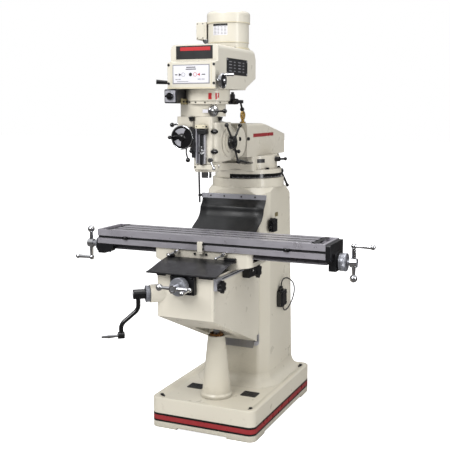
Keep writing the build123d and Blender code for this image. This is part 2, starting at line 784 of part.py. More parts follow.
def along(distance, drop=0.0):
    """A point on the knee crank's axis, counted outwards from the dial's middle."""
    return CRANK_POINT + CRANK_AXIS * distance - Vector(0, 0, drop)


crank_shaft = rod(along(-172), along(76), 14)
crank_pinion = rod(along(-172), along(-152), 21, 17)
with BuildPart() as knee_crank_shaft:
    add(crank_shaft)
    add(crank_pinion)
save(knee_crank_shaft, "knee_crank_shaft")

dial_disc = rod(along(-6), along(14), 40)
dial_hole = rod(along(-20), along(30), 14)
with BuildPart() as knee_crank_dial:
    add(dial_disc)
    add(dial_hole, mode=Mode.SUBTRACT)
save(knee_crank_dial, "knee_crank_dial")

hub_disc = rod(along(15), along(74), 24)
hub_hole = rod(along(0), along(90), 14)
ARM_START = 50
arm_end = along(ARM_START + CRANK_THROW, CRANK_DROP)
with BuildPart() as arm_sweep:
    with BuildLine() as arm_line:
        FilletPolyline(
            along(ARM_START, 18),
            along(ARM_START, 75),
            along(ARM_START + CRANK_THROW, 145),
            arm_end,
            radius=45,
        )
    with BuildSketch(Plane(origin=arm_line.line @ 0, z_dir=(0, 0, -1))):
        Circle(11)
    sweep()
arm_boss = rod(arm_end - CRANK_AXIS * 16, arm_end + CRANK_AXIS * 16, 17)
with BuildPart() as knee_crank_arm:
    add(hub_disc)
    add(arm_sweep.part)
    add(arm_boss)
    add(hub_hole, mode=Mode.SUBTRACT)
save(knee_crank_arm, "knee_crank_arm")

grip_start = arm_end + CRANK_AXIS * 16
grip_middle = arm_end + CRANK_AXIS * 58
grip_end = arm_end + CRANK_AXIS * 96
grip_parts = [rod(grip_start, grip_middle, 7, 12), rod(grip_middle, grip_end, 12, 8)]
with BuildPart() as knee_crank_grip:
    add(grip_parts)
save(knee_crank_grip, "knee_crank_grip")

with BuildPart() as elevating_screw:
    with Locations((0, LIFT_Y, LIFT_LOW)):
        Cylinder(LIFT_RADIUS, LIFT_HIGH - LIFT_LOW, align=UP)
    with Locations((0, LIFT_Y, LIFT_HIGH - 40)):
        Cone(62, 50, 26, align=UP)
    with Locations((0, LIFT_Y, LIFT_HIGH - 2)):
        Cylinder(26, KNEE_ROOF_LOW - LIFT_HIGH + 2 - SLIDE_GAP, align=UP)
save(elevating_screw, "elevating_screw")

# ==== Turret and ram ====

with BuildPart() as turret:
    with Locations((0, TURRET_Y, TURRET_LOW)):
        Cylinder(TURRET_RADIUS, TURRET_RING_TOP - TURRET_LOW, align=UP)
    with Locations((0, TURRET_Y, TURRET_RING_TOP)):
        Cylinder(TURRET_RADIUS - 24, RAM_LOW - TURRET_RING_TOP - SLIDE_GAP, align=UP)
    with Locations((0, 0, TURRET_RING_TOP - 6)):
        Box(
            2 * RAM_HALF + 6,
            2 * TURRET_Y,
            RAM_LOW - TURRET_RING_TOP + 6 - SLIDE_GAP,
            align=(Align.CENTER, Align.MIN, Align.MIN),
        )
    fillet(turret.edges().filter_by(Axis.Z).group_by(Axis.Y)[0], 16)
    with BuildSketch(Plane.XZ.offset(-600)):
        Polygon(
            *dovetail(
                RAM_TAIL_NARROW + 2 * SLIDE_GAP,
                RAM_TAIL_WIDE + 2 * SLIDE_GAP,
                RAM_LOW + 1,
                RAM_TAIL_LOW - SLIDE_GAP,
            ),
            align=None,
        )
    extrude(amount=700, mode=Mode.SUBTRACT)
save(turret, "turret")

RAM_LOCK = Vector(TURRET_RADIUS - 24 + SLIDE_GAP, TURRET_Y, 1384)
ram_lock_stud = rod(RAM_LOCK, RAM_LOCK + Vector(26, 0, 0), 13)
ram_lock_arm = knobbed_arm(RAM_LOCK + Vector(16, 0, 0), RAM_LOCK + Vector(20, 106, -4), 6, 6, 10)
with BuildPart() as ram_lock_lever:
    add(ram_lock_stud)
    add(ram_lock_arm)
save(ram_lock_lever, "ram_lock_lever")

# The turret lock's stud stands radially on the ring.
LOCK_ANGLE = radians(43)
LOCK_OUT = Vector(sin(LOCK_ANGLE), cos(LOCK_ANGLE), 0)
LOCK_ROOT = Vector(0, TURRET_Y, 1310) + LOCK_OUT * (TURRET_RADIUS + SLIDE_GAP)
lock_stud = rod(LOCK_ROOT, LOCK_ROOT + LOCK_OUT * 30, 13)
lock_arm = knobbed_arm(LOCK_ROOT + LOCK_OUT * 19, LOCK_ROOT + LOCK_OUT * 52 + Vector(6, 6, -84), 6, 6, 10)
with BuildPart() as turret_lock_lever:
    add(lock_stud)
    add(lock_arm)
save(turret_lock_lever, "turret_lock_lever")

with BuildPart() as ram:
    with BuildSketch(Plane.YZ):
        Polygon(
            (RAM_FRONT, RAM_LOW),
            (RAM_BACK, RAM_LOW),
            (RAM_BACK, 1514),
            (388, 1535),
            (147, RAM_TOP),
            (RAM_FRONT, RAM_TOP),
            align=None,
        )
    extrude(amount=RAM_HALF, both=True)
    fillet(ram.edges().filter_by(Axis.Y).group_by(Axis.Z)[-1], 14)
    with BuildSketch(Plane.XZ.offset(-RAM_BACK)):
        Polygon(*dovetail(RAM_TAIL_NARROW, RAM_TAIL_WIDE, RAM_LOW, RAM_TAIL_LOW), align=None)
    extrude(amount=RAM_BACK - 20)
    # The tongue that the adapter's fork takes hold of.
    with BuildSketch(Plane.YZ):
        with Locations((NOD_Y, TILT_Z)):
            Circle(TONGUE_RADIUS)
        with Locations((NOD_Y, TILT_Z)):
            Rectangle(RAM_FRONT - NOD_Y + 2, 2 * TONGUE_RADIUS, align=(Align.MIN, Align.CENTER))
    extrude(amount=TONGUE_HALF, both=True)
    with Locations(Plane(origin=(-60, NOD_Y, TILT_Z), z_dir=RIGHT)):
        Cylinder(PIN_RADIUS + RUN_GAP, 120, align=UP, mode=Mode.SUBTRACT)
save(ram, "ram")

EYE_Y = 98
with BuildPart() as lifting_eye:
    with Locations((0, EYE_Y, RAM_TOP)):
        Cylinder(16, 8, align=UP)
        Cylinder(9, 24, align=UP)
    with Locations(Plane(origin=(0, EYE_Y, RAM_TOP + 42), z_dir=RIGHT)):
        Torus(19, 7)
save(lifting_eye, "lifting_eye")

# ==== Ram adapter ====

adapter_pin = rod((-96, NOD_Y, TILT_Z), (96, NOD_Y, TILT_Z), PIN_RADIUS)
with BuildPart() as ram_adapter:
    with Locations(Plane(origin=(0, FLANGE_BACK, TILT_Z), z_dir=FRONT)):
        Cylinder(FLANGE_RADIUS, FLANGE_BACK - FLANGE_FACE, align=UP)
        Cylinder(SPIGOT_RADIUS, FLANGE_BACK - FLANGE_FACE + 16, align=UP)
    with BuildSketch(Plane.YZ):
        with Locations((NOD_Y, TILT_Z)):
            Circle(NOD_RADIUS)
        Polygon(
            (NOD_Y, TILT_Z - NOD_RADIUS),
            (NOD_Y, TILT_Z + NOD_RADIUS),
            (FLANGE_BACK - 1, TILT_Z + NOD_RADIUS + 12),
            (FLANGE_BACK - 1, TILT_Z - NOD_RADIUS - 12),
            align=None,
        )
    extrude(amount=RAM_HALF - 5, both=True)
    with Locations((0, FLANGE_BACK, TILT_Z)):
        Box(
            2 * (TONGUE_HALF + SLIDE_GAP),
            160,
            4 * NOD_RADIUS,
            align=(Align.CENTER, Align.MIN, Align.CENTER),
            mode=Mode.SUBTRACT,
        )
    add(adapter_pin)
save(ram_adapter, "ram_adapter")

# ==== Head castings ====

SHOULDER_LOW = 1470
SHOULDER_LEFT = -118
SHOULDER_RIGHT = -24
CHEEK_RIGHT = 88
with BuildPart() as head_casting:
    with Locations((0, SPINDLE_Y, HEAD_LOW)):
        Cylinder(62, HEAD_TOP - HEAD_LOW, align=UP)
    with Locations((0, SPINDLE_Y, COLLAR_BOTTOM)):
        Cylinder(59, HEAD_LOW - COLLAR_BOTTOM + 5, align=UP)
    with Locations(Plane(origin=(0, FLANGE_FACE - SLIDE_GAP, TILT_Z), z_dir=FRONT)):
        Cylinder(FLANGE_RADIUS, 60, align=UP)
    # The quill's front, the cheek with the feed pinion, and the shoulder with the power feed.
    with BuildSketch(Plane.XY.offset(HEAD_LOW)):
        with Locations((22, -400)):
            RectangleRounded(100, 116, 18)
    extrude(amount=HEAD_TOP - HEAD_LOW)
    with BuildSketch(Plane.XY.offset(1400)):
        with Locations((CHEEK_RIGHT / 2, -340)):
            RectangleRounded(CHEEK_RIGHT, 200, 30)
    extrude(amount=190)
    with BuildSketch(Plane.XY.offset(SHOULDER_LOW)):
        with Locations(((SHOULDER_LEFT + SHOULDER_RIGHT) / 2, -393)):
            RectangleRounded(SHOULDER_RIGHT - SHOULDER_LEFT, 146, 24)
    extrude(amount=HEAD_TOP - SHOULDER_LOW)
    with Locations(Plane(origin=(0, PINION_Y, PINION_Z), z_dir=RIGHT)):
        Cylinder(70, CHEEK_RIGHT + 6, align=UP)
        Cylinder(46, HUB_X - 1, align=UP)
    # The quill's bore, the pinion's shaft and pocket, and the tilt spigot's socket.
    with Locations((0, SPINDLE_Y, COLLAR_BOTTOM)):
        Cylinder(QUILL_RADIUS + RUN_GAP, HEAD_TOP - COLLAR_BOTTOM, align=UP, mode=Mode.SUBTRACT)
    with Locations(Plane(origin=(-17, PINION_Y, PINION_Z), z_dir=RIGHT)):
        Cylinder(17, 34, align=UP, mode=Mode.SUBTRACT)
        Cylinder(10 + RUN_GAP, 140, align=UP, mode=Mode.SUBTRACT)
    with Locations(Plane(origin=(0, FLANGE_FACE, TILT_Z), z_dir=FRONT)):
        Cylinder(SPIGOT_RADIUS + RUN_GAP, 17, align=UP, mode=Mode.SUBTRACT)
save(head_casting, "head_casting")

NECK_RADIUS = 96
NECK_TOP = 1678
NECK_LOBE = (-42, -385)
with BuildPart() as gear_housing:
    with BuildSketch(Plane.XY.offset(HEAD_TOP)):
        with Locations((0, SPINDLE_Y)):
            Circle(NECK_RADIUS)
        with Locations(NECK_LOBE):
            Circle(NECK_RADIUS - 16)
        make_hull()
    extrude(amount=NECK_TOP - HEAD_TOP)
    with Locations((0, SPINDLE_Y, HEAD_TOP)):
        Cylinder(QUILL_RADIUS + 2, 44, align=UP, mode=Mode.SUBTRACT)
        Cylinder(32, 80, align=UP, mode=Mode.SUBTRACT)
save(gear_housing, "gear_housing")

DRUM_RADIUS = 117
with BuildPart() as drum:
    with Locations((0, SPINDLE_Y, NECK_TOP)):
        Cylinder(DRUM_RADIUS - 5, 16, align=UP)
    with Locations((0, SPINDLE_Y, NECK_TOP + 16)):
        Cylinder(DRUM_RADIUS, DRUM_TOP - NECK_TOP - 16, align=UP)
    with Locations((0, SPINDLE_Y, NECK_TOP)):
        Cylinder(32, 90, align=UP, mode=Mode.SUBTRACT)
save(drum, "drum")

HOUSING_HALF = 126
HOUSING_FRONT = -532
HOUSING_STEP = -496
HOUSING_BACK = -31
PANEL_TOP = 1873
SHELL = 6
HOUSING_SHOULDER = 24
HOLLOW_TOP = 1902
with BuildPart() as belt_housing:
    with BuildSketch(Plane.YZ) as housing_side:
        Polygon(
            (HOUSING_FRONT, HOUSING_LOW),
            (-167, HOUSING_LOW),
            (-157, HOUSING_LOW + 12),
            (HOUSING_BACK, HOUSING_LOW + 62),
            (HOUSING_BACK, HOUSING_TOP - 50),
            (HOUSING_BACK - 24, HOUSING_TOP),
            (HOUSING_STEP, HOUSING_TOP),
            (HOUSING_STEP, PANEL_TOP + 8),
            (HOUSING_FRONT, PANEL_TOP),
            align=None,
        )
    extrude(amount=HOUSING_HALF, both=True)
    fillet(belt_housing.edges().filter_by(Axis.Y).group_by(Axis.Z)[-1], HOUSING_SHOULDER)
    # The hollow for the belt and pulleys.
    with BuildSketch(Plane.XY.offset(PULLEY_LOW - 2)):
        with Locations((0, (HOUSING_STEP + HOUSING_BACK) / 2)):
            RectangleRounded(
                2 * (HOUSING_HALF - SHELL),
                HOUSING_BACK - HOUSING_STEP - 2 * SHELL,
                60 - SHELL,
            )
    extrude(amount=HOLLOW_TOP - PULLEY_LOW + 2, mode=Mode.SUBTRACT)
    with BuildSketch(Plane.XY.offset(HOUSING_LOW + SHELL)):
        with Locations((0, -330)):
            RectangleRounded(2 * (HOUSING_HALF - SHELL), 310, 60 - SHELL)
    extrude(amount=PULLEY_LOW - HOUSING_LOW - SHELL, mode=Mode.SUBTRACT)
    with Locations((0, SPINDLE_Y, HOUSING_LOW - 1)):
        Cylinder(32, 30, align=UP, mode=Mode.SUBTRACT)
        Cylinder(20, 300, align=UP, mode=Mode.SUBTRACT)
    with Locations((0, MOTOR_Y, HOLLOW_TOP - 1)):
        Cylinder(17, 100, align=UP, mode=Mode.SUBTRACT)
save(belt_housing, "belt_housing")

MOTOR_BODY_LOW = 1992
with BuildPart() as motor:
    with Locations((0, MOTOR_Y, HOUSING_TOP)):
        Cylinder(103, MOTOR_BODY_LOW - HOUSING_TOP, align=UP)
    with Locations((0, MOTOR_Y, MOTOR_BODY_LOW)):
        Cylinder(105.5, 98, align=UP)
    with Locations((0, MOTOR_Y, MOTOR_BODY_LOW + 98)):
        Cylinder(111, MOTOR_TOP - MOTOR_BODY_LOW - 98, align=UP)
    fillet(motor.edges().group_by(Axis.Z)[-1], 16)
    with Locations((0, MOTOR_Y, HOUSING_TOP)):
        Cylinder(12 + RUN_GAP, 90, align=UP, mode=Mode.SUBTRACT)
save(motor, "motor")

with BuildPart() as junction_box:
    with Locations((-130, MOTOR_Y, 2012)):
        Box(60, 104, 88, align=(Align.CENTER, Align.CENTER, Align.MIN))
    fillet(junction_box.edges().filter_by(Axis.Z), 6)
    with Locations((0, MOTOR_Y, MOTOR_BODY_LOW)):
        Cylinder(105.5, 98, align=UP, mode=Mode.SUBTRACT)
        Cylinder(111, 200, align=UP, mode=Mode.SUBTRACT)
save(junction_box, "junction_box")

SWITCH_LOW = 1682
SWITCH_FACE = -560
with BuildPart() as switch_box:
    with Locations((-94.5, SWITCH_FACE, SWITCH_LOW)):
        Box(67, 120, 66, align=(Align.CENTER, Align.MIN, Align.MIN))
    fillet(switch_box.edges().filter_by(Axis.Y), 6)
    with Locations((0, SPINDLE_Y, SWITCH_LOW - 10)):
        Cylinder(DRUM_RADIUS, 90, align=UP, mode=Mode.SUBTRACT)
save(switch_box, "switch_box")

SWITCH_KNOB = (-97, SWITCH_FACE - SLIDE_GAP, SWITCH_LOW + 33)
with BuildPart(Plane(origin=SWITCH_KNOB, z_dir=FRONT)) as switch_knob:
    Cylinder(17, 10, align=UP)
    Box(10, 34, 22, align=UP)
save(switch_knob, "switch_knob")

STOP_X = 22
STOP_Y = -478
stop_screw = rod((STOP_X, STOP_Y, 1388), (STOP_X, STOP_Y, 1560), 7)
stop_nuts = rod((STOP_X, STOP_Y, 1460), (STOP_X, STOP_Y, 1492), 12)
with BuildPart() as quill_stop:
    add(stop_screw)
    add(stop_nuts)
    with Locations((8, -458, 1562), (8, -458, 1384)):
        Box(56, 36, 12, align=(Align.CENTER, Align.MAX, Align.CENTER))
save(quill_stop, "quill_stop")

# ==== Quill, spindle and drive ====

with BuildPart() as quill:
    with Locations((0, SPINDLE_Y, COLLAR_BOTTOM + 1)):
        Cylinder(QUILL_RADIUS, 250, align=UP)
        Cylinder(27 + RUN_GAP, 260, align=UP, mode=Mode.SUBTRACT)
save(quill, "quill")

DRAWBAR_TOP = 1990
with BuildPart() as spindle:
    with BuildSketch(Plane.XZ.offset(-SPINDLE_Y)):
        with BuildLine():
            Polyline(
                (MOUTH_RADIUS, NOSE_Z),
                (SPINDLE_RADIUS, NOSE_Z),
                (SPINDLE_RADIUS, COLLAR_BOTTOM + 2),
                (27, COLLAR_BOTTOM + 2),
                (27, 1598),
                (20, 1599),
                (20, 1892),
                (BORE_RADIUS - 5, 1892),
                (BORE_RADIUS - 5, 1430),
                (BORE_RADIUS, 1430),
                (BORE_RADIUS, 1340),
                close=True,
            )
        make_face()
    revolve(axis=Axis((0, SPINDLE_Y, 0), (0, 0, 1)))
    with Locations((0, SPINDLE_Y, 1886)):
        Cylinder(8, DRAWBAR_TOP - 1886 - 18, align=UP)
    with BuildSketch(Plane.XY.offset(DRAWBAR_TOP - 18)):
        with Locations((0, SPINDLE_Y)):
            RegularPolygon(11, 6)
    extrude(amount=18)
save(spindle, "spindle")

PULLEY_STEPS = [(50, 18), (45, 18), (40, 18), (35, 18)]


def step_pulley(y, bore, steps):
    """A four-step pulley: one disc on the next."""
    with BuildPart() as pulley:
        for number, (radius, height) in enumerate(steps):
            with Locations((0, y, PULLEY_LOW + number * height)):
                Cylinder(radius, height, align=UP)
        with Locations((0, y, PULLEY_LOW - 1)):
            Cylinder(bore, 200, align=UP, mode=Mode.SUBTRACT)
    return pulley


spindle_pulley = step_pulley(SPINDLE_Y, 20 + RUN_GAP, PULLEY_STEPS)
save(spindle_pulley, "spindle_pulley")

motor_steps = step_pulley(MOTOR_Y, 11, PULLEY_STEPS[::-1])
with BuildPart() as motor_pulley:
    add(motor_steps.part)
    with Locations((0, MOTOR_Y, PULLEY_LOW)):
        Cylinder(12, MOTOR_BODY_LOW + 30 - PULLEY_LOW, align=UP)
save(motor_pulley, "motor_pulley")

# The belt runs on the second step of each pulley.
BELT_STEP = 1
belt_driven = PULLEY_STEPS[BELT_STEP][0] + 0.4
belt_driver = PULLEY_STEPS[::-1][BELT_STEP][0] + 0.4
BELT_Z = PULLEY_LOW + PULLEY_STEPS[0][1] * BELT_STEP + 3


def belt_loop(extra):
    """The belt's outline: two discs and the quadrilateral between them."""
    with BuildSketch() as loop:
        with Locations((0, SPINDLE_Y)):
            Circle(belt_driven + extra)
        with Locations((0, MOTOR_Y)):
            Circle(belt_driver + extra)
        Polygon(
            (-belt_driven - extra, SPINDLE_Y),
            (belt_driven + extra, SPINDLE_Y),
            (belt_driver + extra, MOTOR_Y),
            (-belt_driver - extra, MOTOR_Y),
            align=None,
        )
    return loop.sketch


belt_outer = belt_loop(8)
belt_inner = belt_loop(0)
with BuildPart() as drive_belt:
    with BuildSketch(Plane.XY.offset(BELT_Z)):
        add(belt_outer)
        add(belt_inner, mode=Mode.SUBTRACT)
    extrude(amount=12)
save(drive_belt, "drive_belt")

# ==== Head controls ====

HUB_ARM_X = HUB_X + 13
HUB_ARM = 118
feed_arms = [
    knobbed_arm(
        (HUB_ARM_X, PINION_Y, PINION_Z),
        (
            HUB_ARM_X,
            PINION_Y + HUB_ARM * cos(radians(angle)),
            PINION_Z + HUB_ARM * sin(radians(angle)),
        ),
        6,
        5,
        11,
    )
    for angle in (133, 44, -57)
]
with BuildPart() as feed_hub:
    with Locations(Plane(origin=(-15, PINION_Y, PINION_Z), z_dir=RIGHT)):
        Cylinder(15, 30, align=UP)
        Cylinder(10, HUB_X + 18, align=UP)
    with Locations(Plane(origin=(HUB_X, PINION_Y, PINION_Z), z_dir=RIGHT)):
        Cylinder(33, 22, align=UP)
    add(feed_arms)
save(feed_hub, "feed_hub")

WHEEL = (-76, -478, 1518)
wheel_grip = rod((WHEEL[0] - 48, WHEEL[1] - 8, WHEEL[2]), (WHEEL[0] - 48, WHEEL[1] - 46, WHEEL[2]), 6, 8)
with BuildPart() as fine_feed_wheel:
    with Locations(Plane(origin=(WHEEL[0], -466 - SLIDE_GAP, WHEEL[2]), z_dir=FRONT)):
        Cylinder(12, 26, align=UP)
    with Locations(Plane(origin=WHEEL, z_dir=FRONT)):
        Cylinder(53, 8, align=UP)
        Torus(54, 5)
    add(wheel_grip)
save(fine_feed_wheel, "fine_feed_wheel")

SPEED_AT = (HOUSING_HALF + SLIDE_GAP, -506, 1786)
speed_grip = knobbed_arm(
    (SPEED_AT[0] + 26, SPEED_AT[1], SPEED_AT[2] + 27),
    (SPEED_AT[0] + 78, SPEED_AT[1], SPEED_AT[2] + 27),
    6,
    5,
    7,
)
with BuildPart() as speed_wheel:
    with Locations(Plane(origin=SPEED_AT, z_dir=RIGHT)):
        Cylinder(14, 28, align=UP)
    with Locations(Plane(origin=(SPEED_AT[0] + 18, SPEED_AT[1], SPEED_AT[2]), z_dir=RIGHT)):
        Cylinder(36, 12, align=UP)
    add(speed_grip)
save(speed_wheel, "speed_wheel")

RANGE_AT = (118, -262, 1692)
range_arm = knobbed_arm((RANGE_AT[0] + 8, RANGE_AT[1] + 30, RANGE_AT[2]), (118, -190, 1654), 5, 5, 11)
range_pivot = rod((108.6, RANGE_AT[1] - 50, RANGE_AT[2]), (141, RANGE_AT[1] - 50, RANGE_AT[2]), 9)
with BuildPart() as range_lever:
    with Locations((RANGE_AT[0] + 6, RANGE_AT[1] - 8, RANGE_AT[2])):
        Box(26, 100, 16)
    add(range_pivot)
    add(range_arm)
save(range_lever, "range_lever")

QUILL_LOCK = (70, -458 - SLIDE_GAP, 1410)
quill_lock_stud = rod(QUILL_LOCK, (QUILL_LOCK[0], QUILL_LOCK[1] - 18, QUILL_LOCK[2]), 11)
quill_lock_arm = knobbed_arm((70, -470, 1410), (92, -478, 1372), 4.5, 4, 8)
with BuildPart() as quill_lock_lever:
    add(quill_lock_stud)
    add(quill_lock_arm)
save(quill_lock_lever, "quill_lock_lever")

BRAKE_AT = (-HOUSING_HALF - SLIDE_GAP, -430, 1782)
brake_stud = rod(BRAKE_AT, (BRAKE_AT[0] - 22, BRAKE_AT[1], BRAKE_AT[2]), 11)
brake_arm = rod((BRAKE_AT[0] - 14, BRAKE_AT[1], BRAKE_AT[2]), (BRAKE_AT[0] - 91, -478, 1787), 7, 11)
with BuildPart() as brake_lever:
    add(brake_stud)
    add(brake_arm)
save(brake_lever, "brake_lever")
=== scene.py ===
from math import cos, pi, radians, sin

import bmesh
import bpy
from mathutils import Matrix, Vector


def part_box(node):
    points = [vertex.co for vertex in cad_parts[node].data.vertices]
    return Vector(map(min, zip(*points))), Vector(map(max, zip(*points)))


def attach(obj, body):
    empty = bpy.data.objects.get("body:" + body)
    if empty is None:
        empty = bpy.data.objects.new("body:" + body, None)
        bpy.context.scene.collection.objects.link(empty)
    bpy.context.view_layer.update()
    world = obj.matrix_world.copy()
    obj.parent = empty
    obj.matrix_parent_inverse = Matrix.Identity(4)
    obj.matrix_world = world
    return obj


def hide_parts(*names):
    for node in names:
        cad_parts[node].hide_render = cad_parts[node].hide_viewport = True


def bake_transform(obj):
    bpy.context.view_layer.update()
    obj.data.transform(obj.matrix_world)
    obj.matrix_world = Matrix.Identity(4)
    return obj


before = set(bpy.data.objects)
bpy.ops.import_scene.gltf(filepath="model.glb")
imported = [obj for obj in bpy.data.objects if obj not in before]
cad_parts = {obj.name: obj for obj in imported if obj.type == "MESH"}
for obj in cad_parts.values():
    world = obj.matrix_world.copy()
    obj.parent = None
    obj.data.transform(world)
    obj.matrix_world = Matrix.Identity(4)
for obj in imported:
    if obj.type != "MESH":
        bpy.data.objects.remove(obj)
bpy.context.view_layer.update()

# A knee-type vertical milling machine. Positions below are in millimetres in the
# part's frame: +X to the operator's right, -Y towards the operator, +Z up.
MM = 0.001
X, Y, Z = Vector((1, 0, 0)), Vector((0, 1, 0)), Vector((0, 0, 1))


def node_box(node):
    """A CAD node's lowest and highest corner, in millimetres."""
    low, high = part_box(node)
    return low / MM, high / MM


# ==== Camera ====

scene = bpy.context.scene
camera = bpy.data.objects.new("camera", bpy.data.cameras.new("camera"))
camera.location = (1.7308, -4.0088, 1.6439)
camera.rotation_euler = (radians(82.0), 0, radians(24.1))
camera.data.sensor_width = 36
camera.data.lens = 64.7
scene.collection.objects.link(camera)
scene.camera = camera
scene.view_settings.view_transform = "Standard"


def linear(red, green, blue):
    """An sRGB colour of 0 to 255 as the linear colour that the shader takes."""
    channels = []
    for value in (red, green, blue):
        share = value / 255
        channels.append(share / 12.92 if share <= 0.04045 else ((share + 0.055) / 1.055) ** 2.4)
    return (*channels, 1.0)


# ==== Materials ====


def add(tree, kind, **values):
    """A new shader node with values on its sockets. An underscore stands for a space."""
    node = tree.nodes.new("ShaderNode" + kind)
    for socket, value in values.items():
        node.inputs[socket.replace("_", " ")].default_value = value
    return node


class Finish:
    """A material's node tree, with short calls for the nodes that every finish here uses."""

    def __init__(self, name, colour, metallic=0.0, roughness=0.5, coat=0.0, specular=0.5):
        self.material = bpy.data.materials.new(name)
        self.material.use_nodes = True
        self.tree = self.material.node_tree
        self.shader = self.tree.nodes["Principled BSDF"]
        self.shader.inputs["Base Color"].default_value = colour
        self.shader.inputs["Metallic"].default_value = metallic
        self.shader.inputs["Roughness"].default_value = roughness
        self.shader.inputs["Coat Weight"].default_value = coat
        self.shader.inputs["Coat Roughness"].default_value = 0.12
        self.shader.inputs["Specular IOR Level"].default_value = specular
        self.base = colour
        self.colour = self.normal = None
        self.coordinates = add(self.tree, "TexCoord").outputs["Object"]

    def link(self, source, target):
        self.tree.links.new(source, target)

    def mapped(self, kind, mapping, **values):
        """A texture on the part's own coordinates, turned or stretched by a mapping."""
        place = add(self.tree, "Mapping", **mapping)
        self.link(self.coordinates, place.inputs["Vector"])
        node = add(self.tree, kind, **values)
        self.link(place.outputs["Vector"], node.inputs["Vector"])
        return node

    def noise(self, scale, stretch=(1, 1, 1), detail=3.0, rough=0.55):
        """Noise of a scale in cells per metre, drawn out along an axis by a stretch under one."""
        node = self.mapped("TexNoise", {"Scale": stretch}, Scale=scale, Detail=detail, Roughness=rough)
        return node.outputs["Fac"]

    def cells(self, scale):
        """Scraped flakes: a pattern of cells, askew to the axes."""
        return self.mapped("TexVoronoi", {"Rotation": (0.4, 0.3, 0.6)}, Scale=scale).outputs["Distance"]

    def spread(self, value, low, high, out_low=0.0, out_high=1.0):
        """A value between low and high brought to another range."""
        node = add(self.tree, "MapRange", From_Min=low, From_Max=high, To_Min=out_low, To_Max=out_high)
        self.link(value, node.inputs["Value"])
        return node.outputs["Result"]

    def times(self, a, b):
        node = add(self.tree, "Math")
        node.operation = "MULTIPLY"
        self.link(a, node.inputs[0])
        self.link(b, node.inputs[1])
        return node.outputs["Value"]

    def tint(self, factor, colour):
        """Mixes a colour in where the factor is high."""
        node = add(self.tree, "Mix")
        node.data_type = "RGBA"
        if self.colour is None:
            node.inputs[6].default_value = self.base
        else:
            self.link(self.colour, node.inputs[6])
        node.inputs[7].default_value = colour
        self.link(factor, node.inputs[0])
        self.colour = node.outputs[2]
        self.link(self.colour, self.shader.inputs["Base Color"])

    def shape(self, normal):
        """Takes a normal as the surface's own."""
        self.normal = normal
        self.link(normal, self.shader.inputs["Normal"])

    def soft_normal(self, radius):
        node = add(self.tree, "Bevel", Radius=radius)
        node.samples = 4
        return node.outputs["Normal"]

    def round_edges(self, radius):
        """Softens the CAD model's sharp edges in the shading."""
        self.shape(self.soft_normal(radius))

    def edges(self, radius):
        """One on the sharp edges and nought elsewhere."""
        soft = self.soft_normal(radius)
        plain = add(self.tree, "NewGeometry")
        dot = add(self.tree, "VectorMath")
        dot.operation = "DOT_PRODUCT"
        self.link(soft, dot.inputs[0])
        self.link(plain.outputs["Normal"], dot.inputs[1])
        return self.spread(dot.outputs["Value"], 0.985, 0.8)

    def hollow_shade(self, distance):
        """One in corners and crevices and nought in the open, from ambient occlusion: the mask for painted
        shade.
        """
        node = add(self.tree, "AmbientOcclusion", Distance=distance)
        node.samples = 4
        return self.spread(node.outputs["AO"], 0.75, 0.2)

    def bump(self, height, distance, strength):
        node = add(self.tree, "Bump", Strength=strength, Distance=distance)
        self.link(height, node.inputs["Height"])
        if self.normal is not None:
            self.link(self.normal, node.inputs["Normal"])
        self.shape(node.outputs["Normal"])

    def clouds(self, scale, detail, low, high, amount, colour):
        """Mixes a colour in through patches of noise."""
        self.tint(self.spread(self.noise(scale, detail=detail), low, high, 0, amount), colour)

    def grime_and_shade(self, distance, amount, colour):
        """Mixes a colour in through corners and crevices: painted shade, partly standing for grime."""
        self.tint(self.spread(self.hollow_shade(distance), 0, 1, 0, amount), colour)

    def polish(self, scale, detail, span):
        """Roughness that wanders over a span."""
        patches = self.spread(self.noise(scale, detail=detail), 0.3, 0.7, *span)
        self.link(patches, self.shader.inputs["Roughness"])


def shaded(colour, share, lift=0.0):
    """A colour with its channels scaled."""
    return (*[share * channel + lift for channel in colour[:3]], 1)


def enamel(name, colour, shade, chip, ripple=0.00012, roughness=(0.26, 0.38), edge=0.003):
    """Glossy machine enamel over filled castings: soft ripple, fine peel, chipped edges, and painted shade in
    the corners and under the overhangs, partly standing for grime.
    """
    paint = Finish(name, colour, roughness=0.3, coat=0.35)
    paint.round_edges(edge)
    paint.clouds(4, 3, 0.35, 0.75, 0.35, shade)
    # Painted shade: a darker tone through corners and crevices, partly standing for grime.
    paint.grime_and_shade(0.03, 0.4, shaded(shade, 0.4))
    # Painted shade: a much darker tone deep in cavities and under overhangs, from a wide ambient occlusion.
    paint.tint(paint.spread(paint.hollow_shade(0.22), 0.45, 1, 0, 0.85), shaded(shade, 0.16))
    worn = paint.times(paint.edges(0.0018), paint.spread(paint.noise(90, detail=6), 0.66, 0.74, 0, 0.12))
    paint.tint(worn, chip)
    paint.bump(paint.noise(26, detail=2), ripple, 0.55)
    paint.bump(paint.noise(420, detail=2), 0.00006, 0.5)
    paint.polish(14, 5, roughness)
    return paint.material


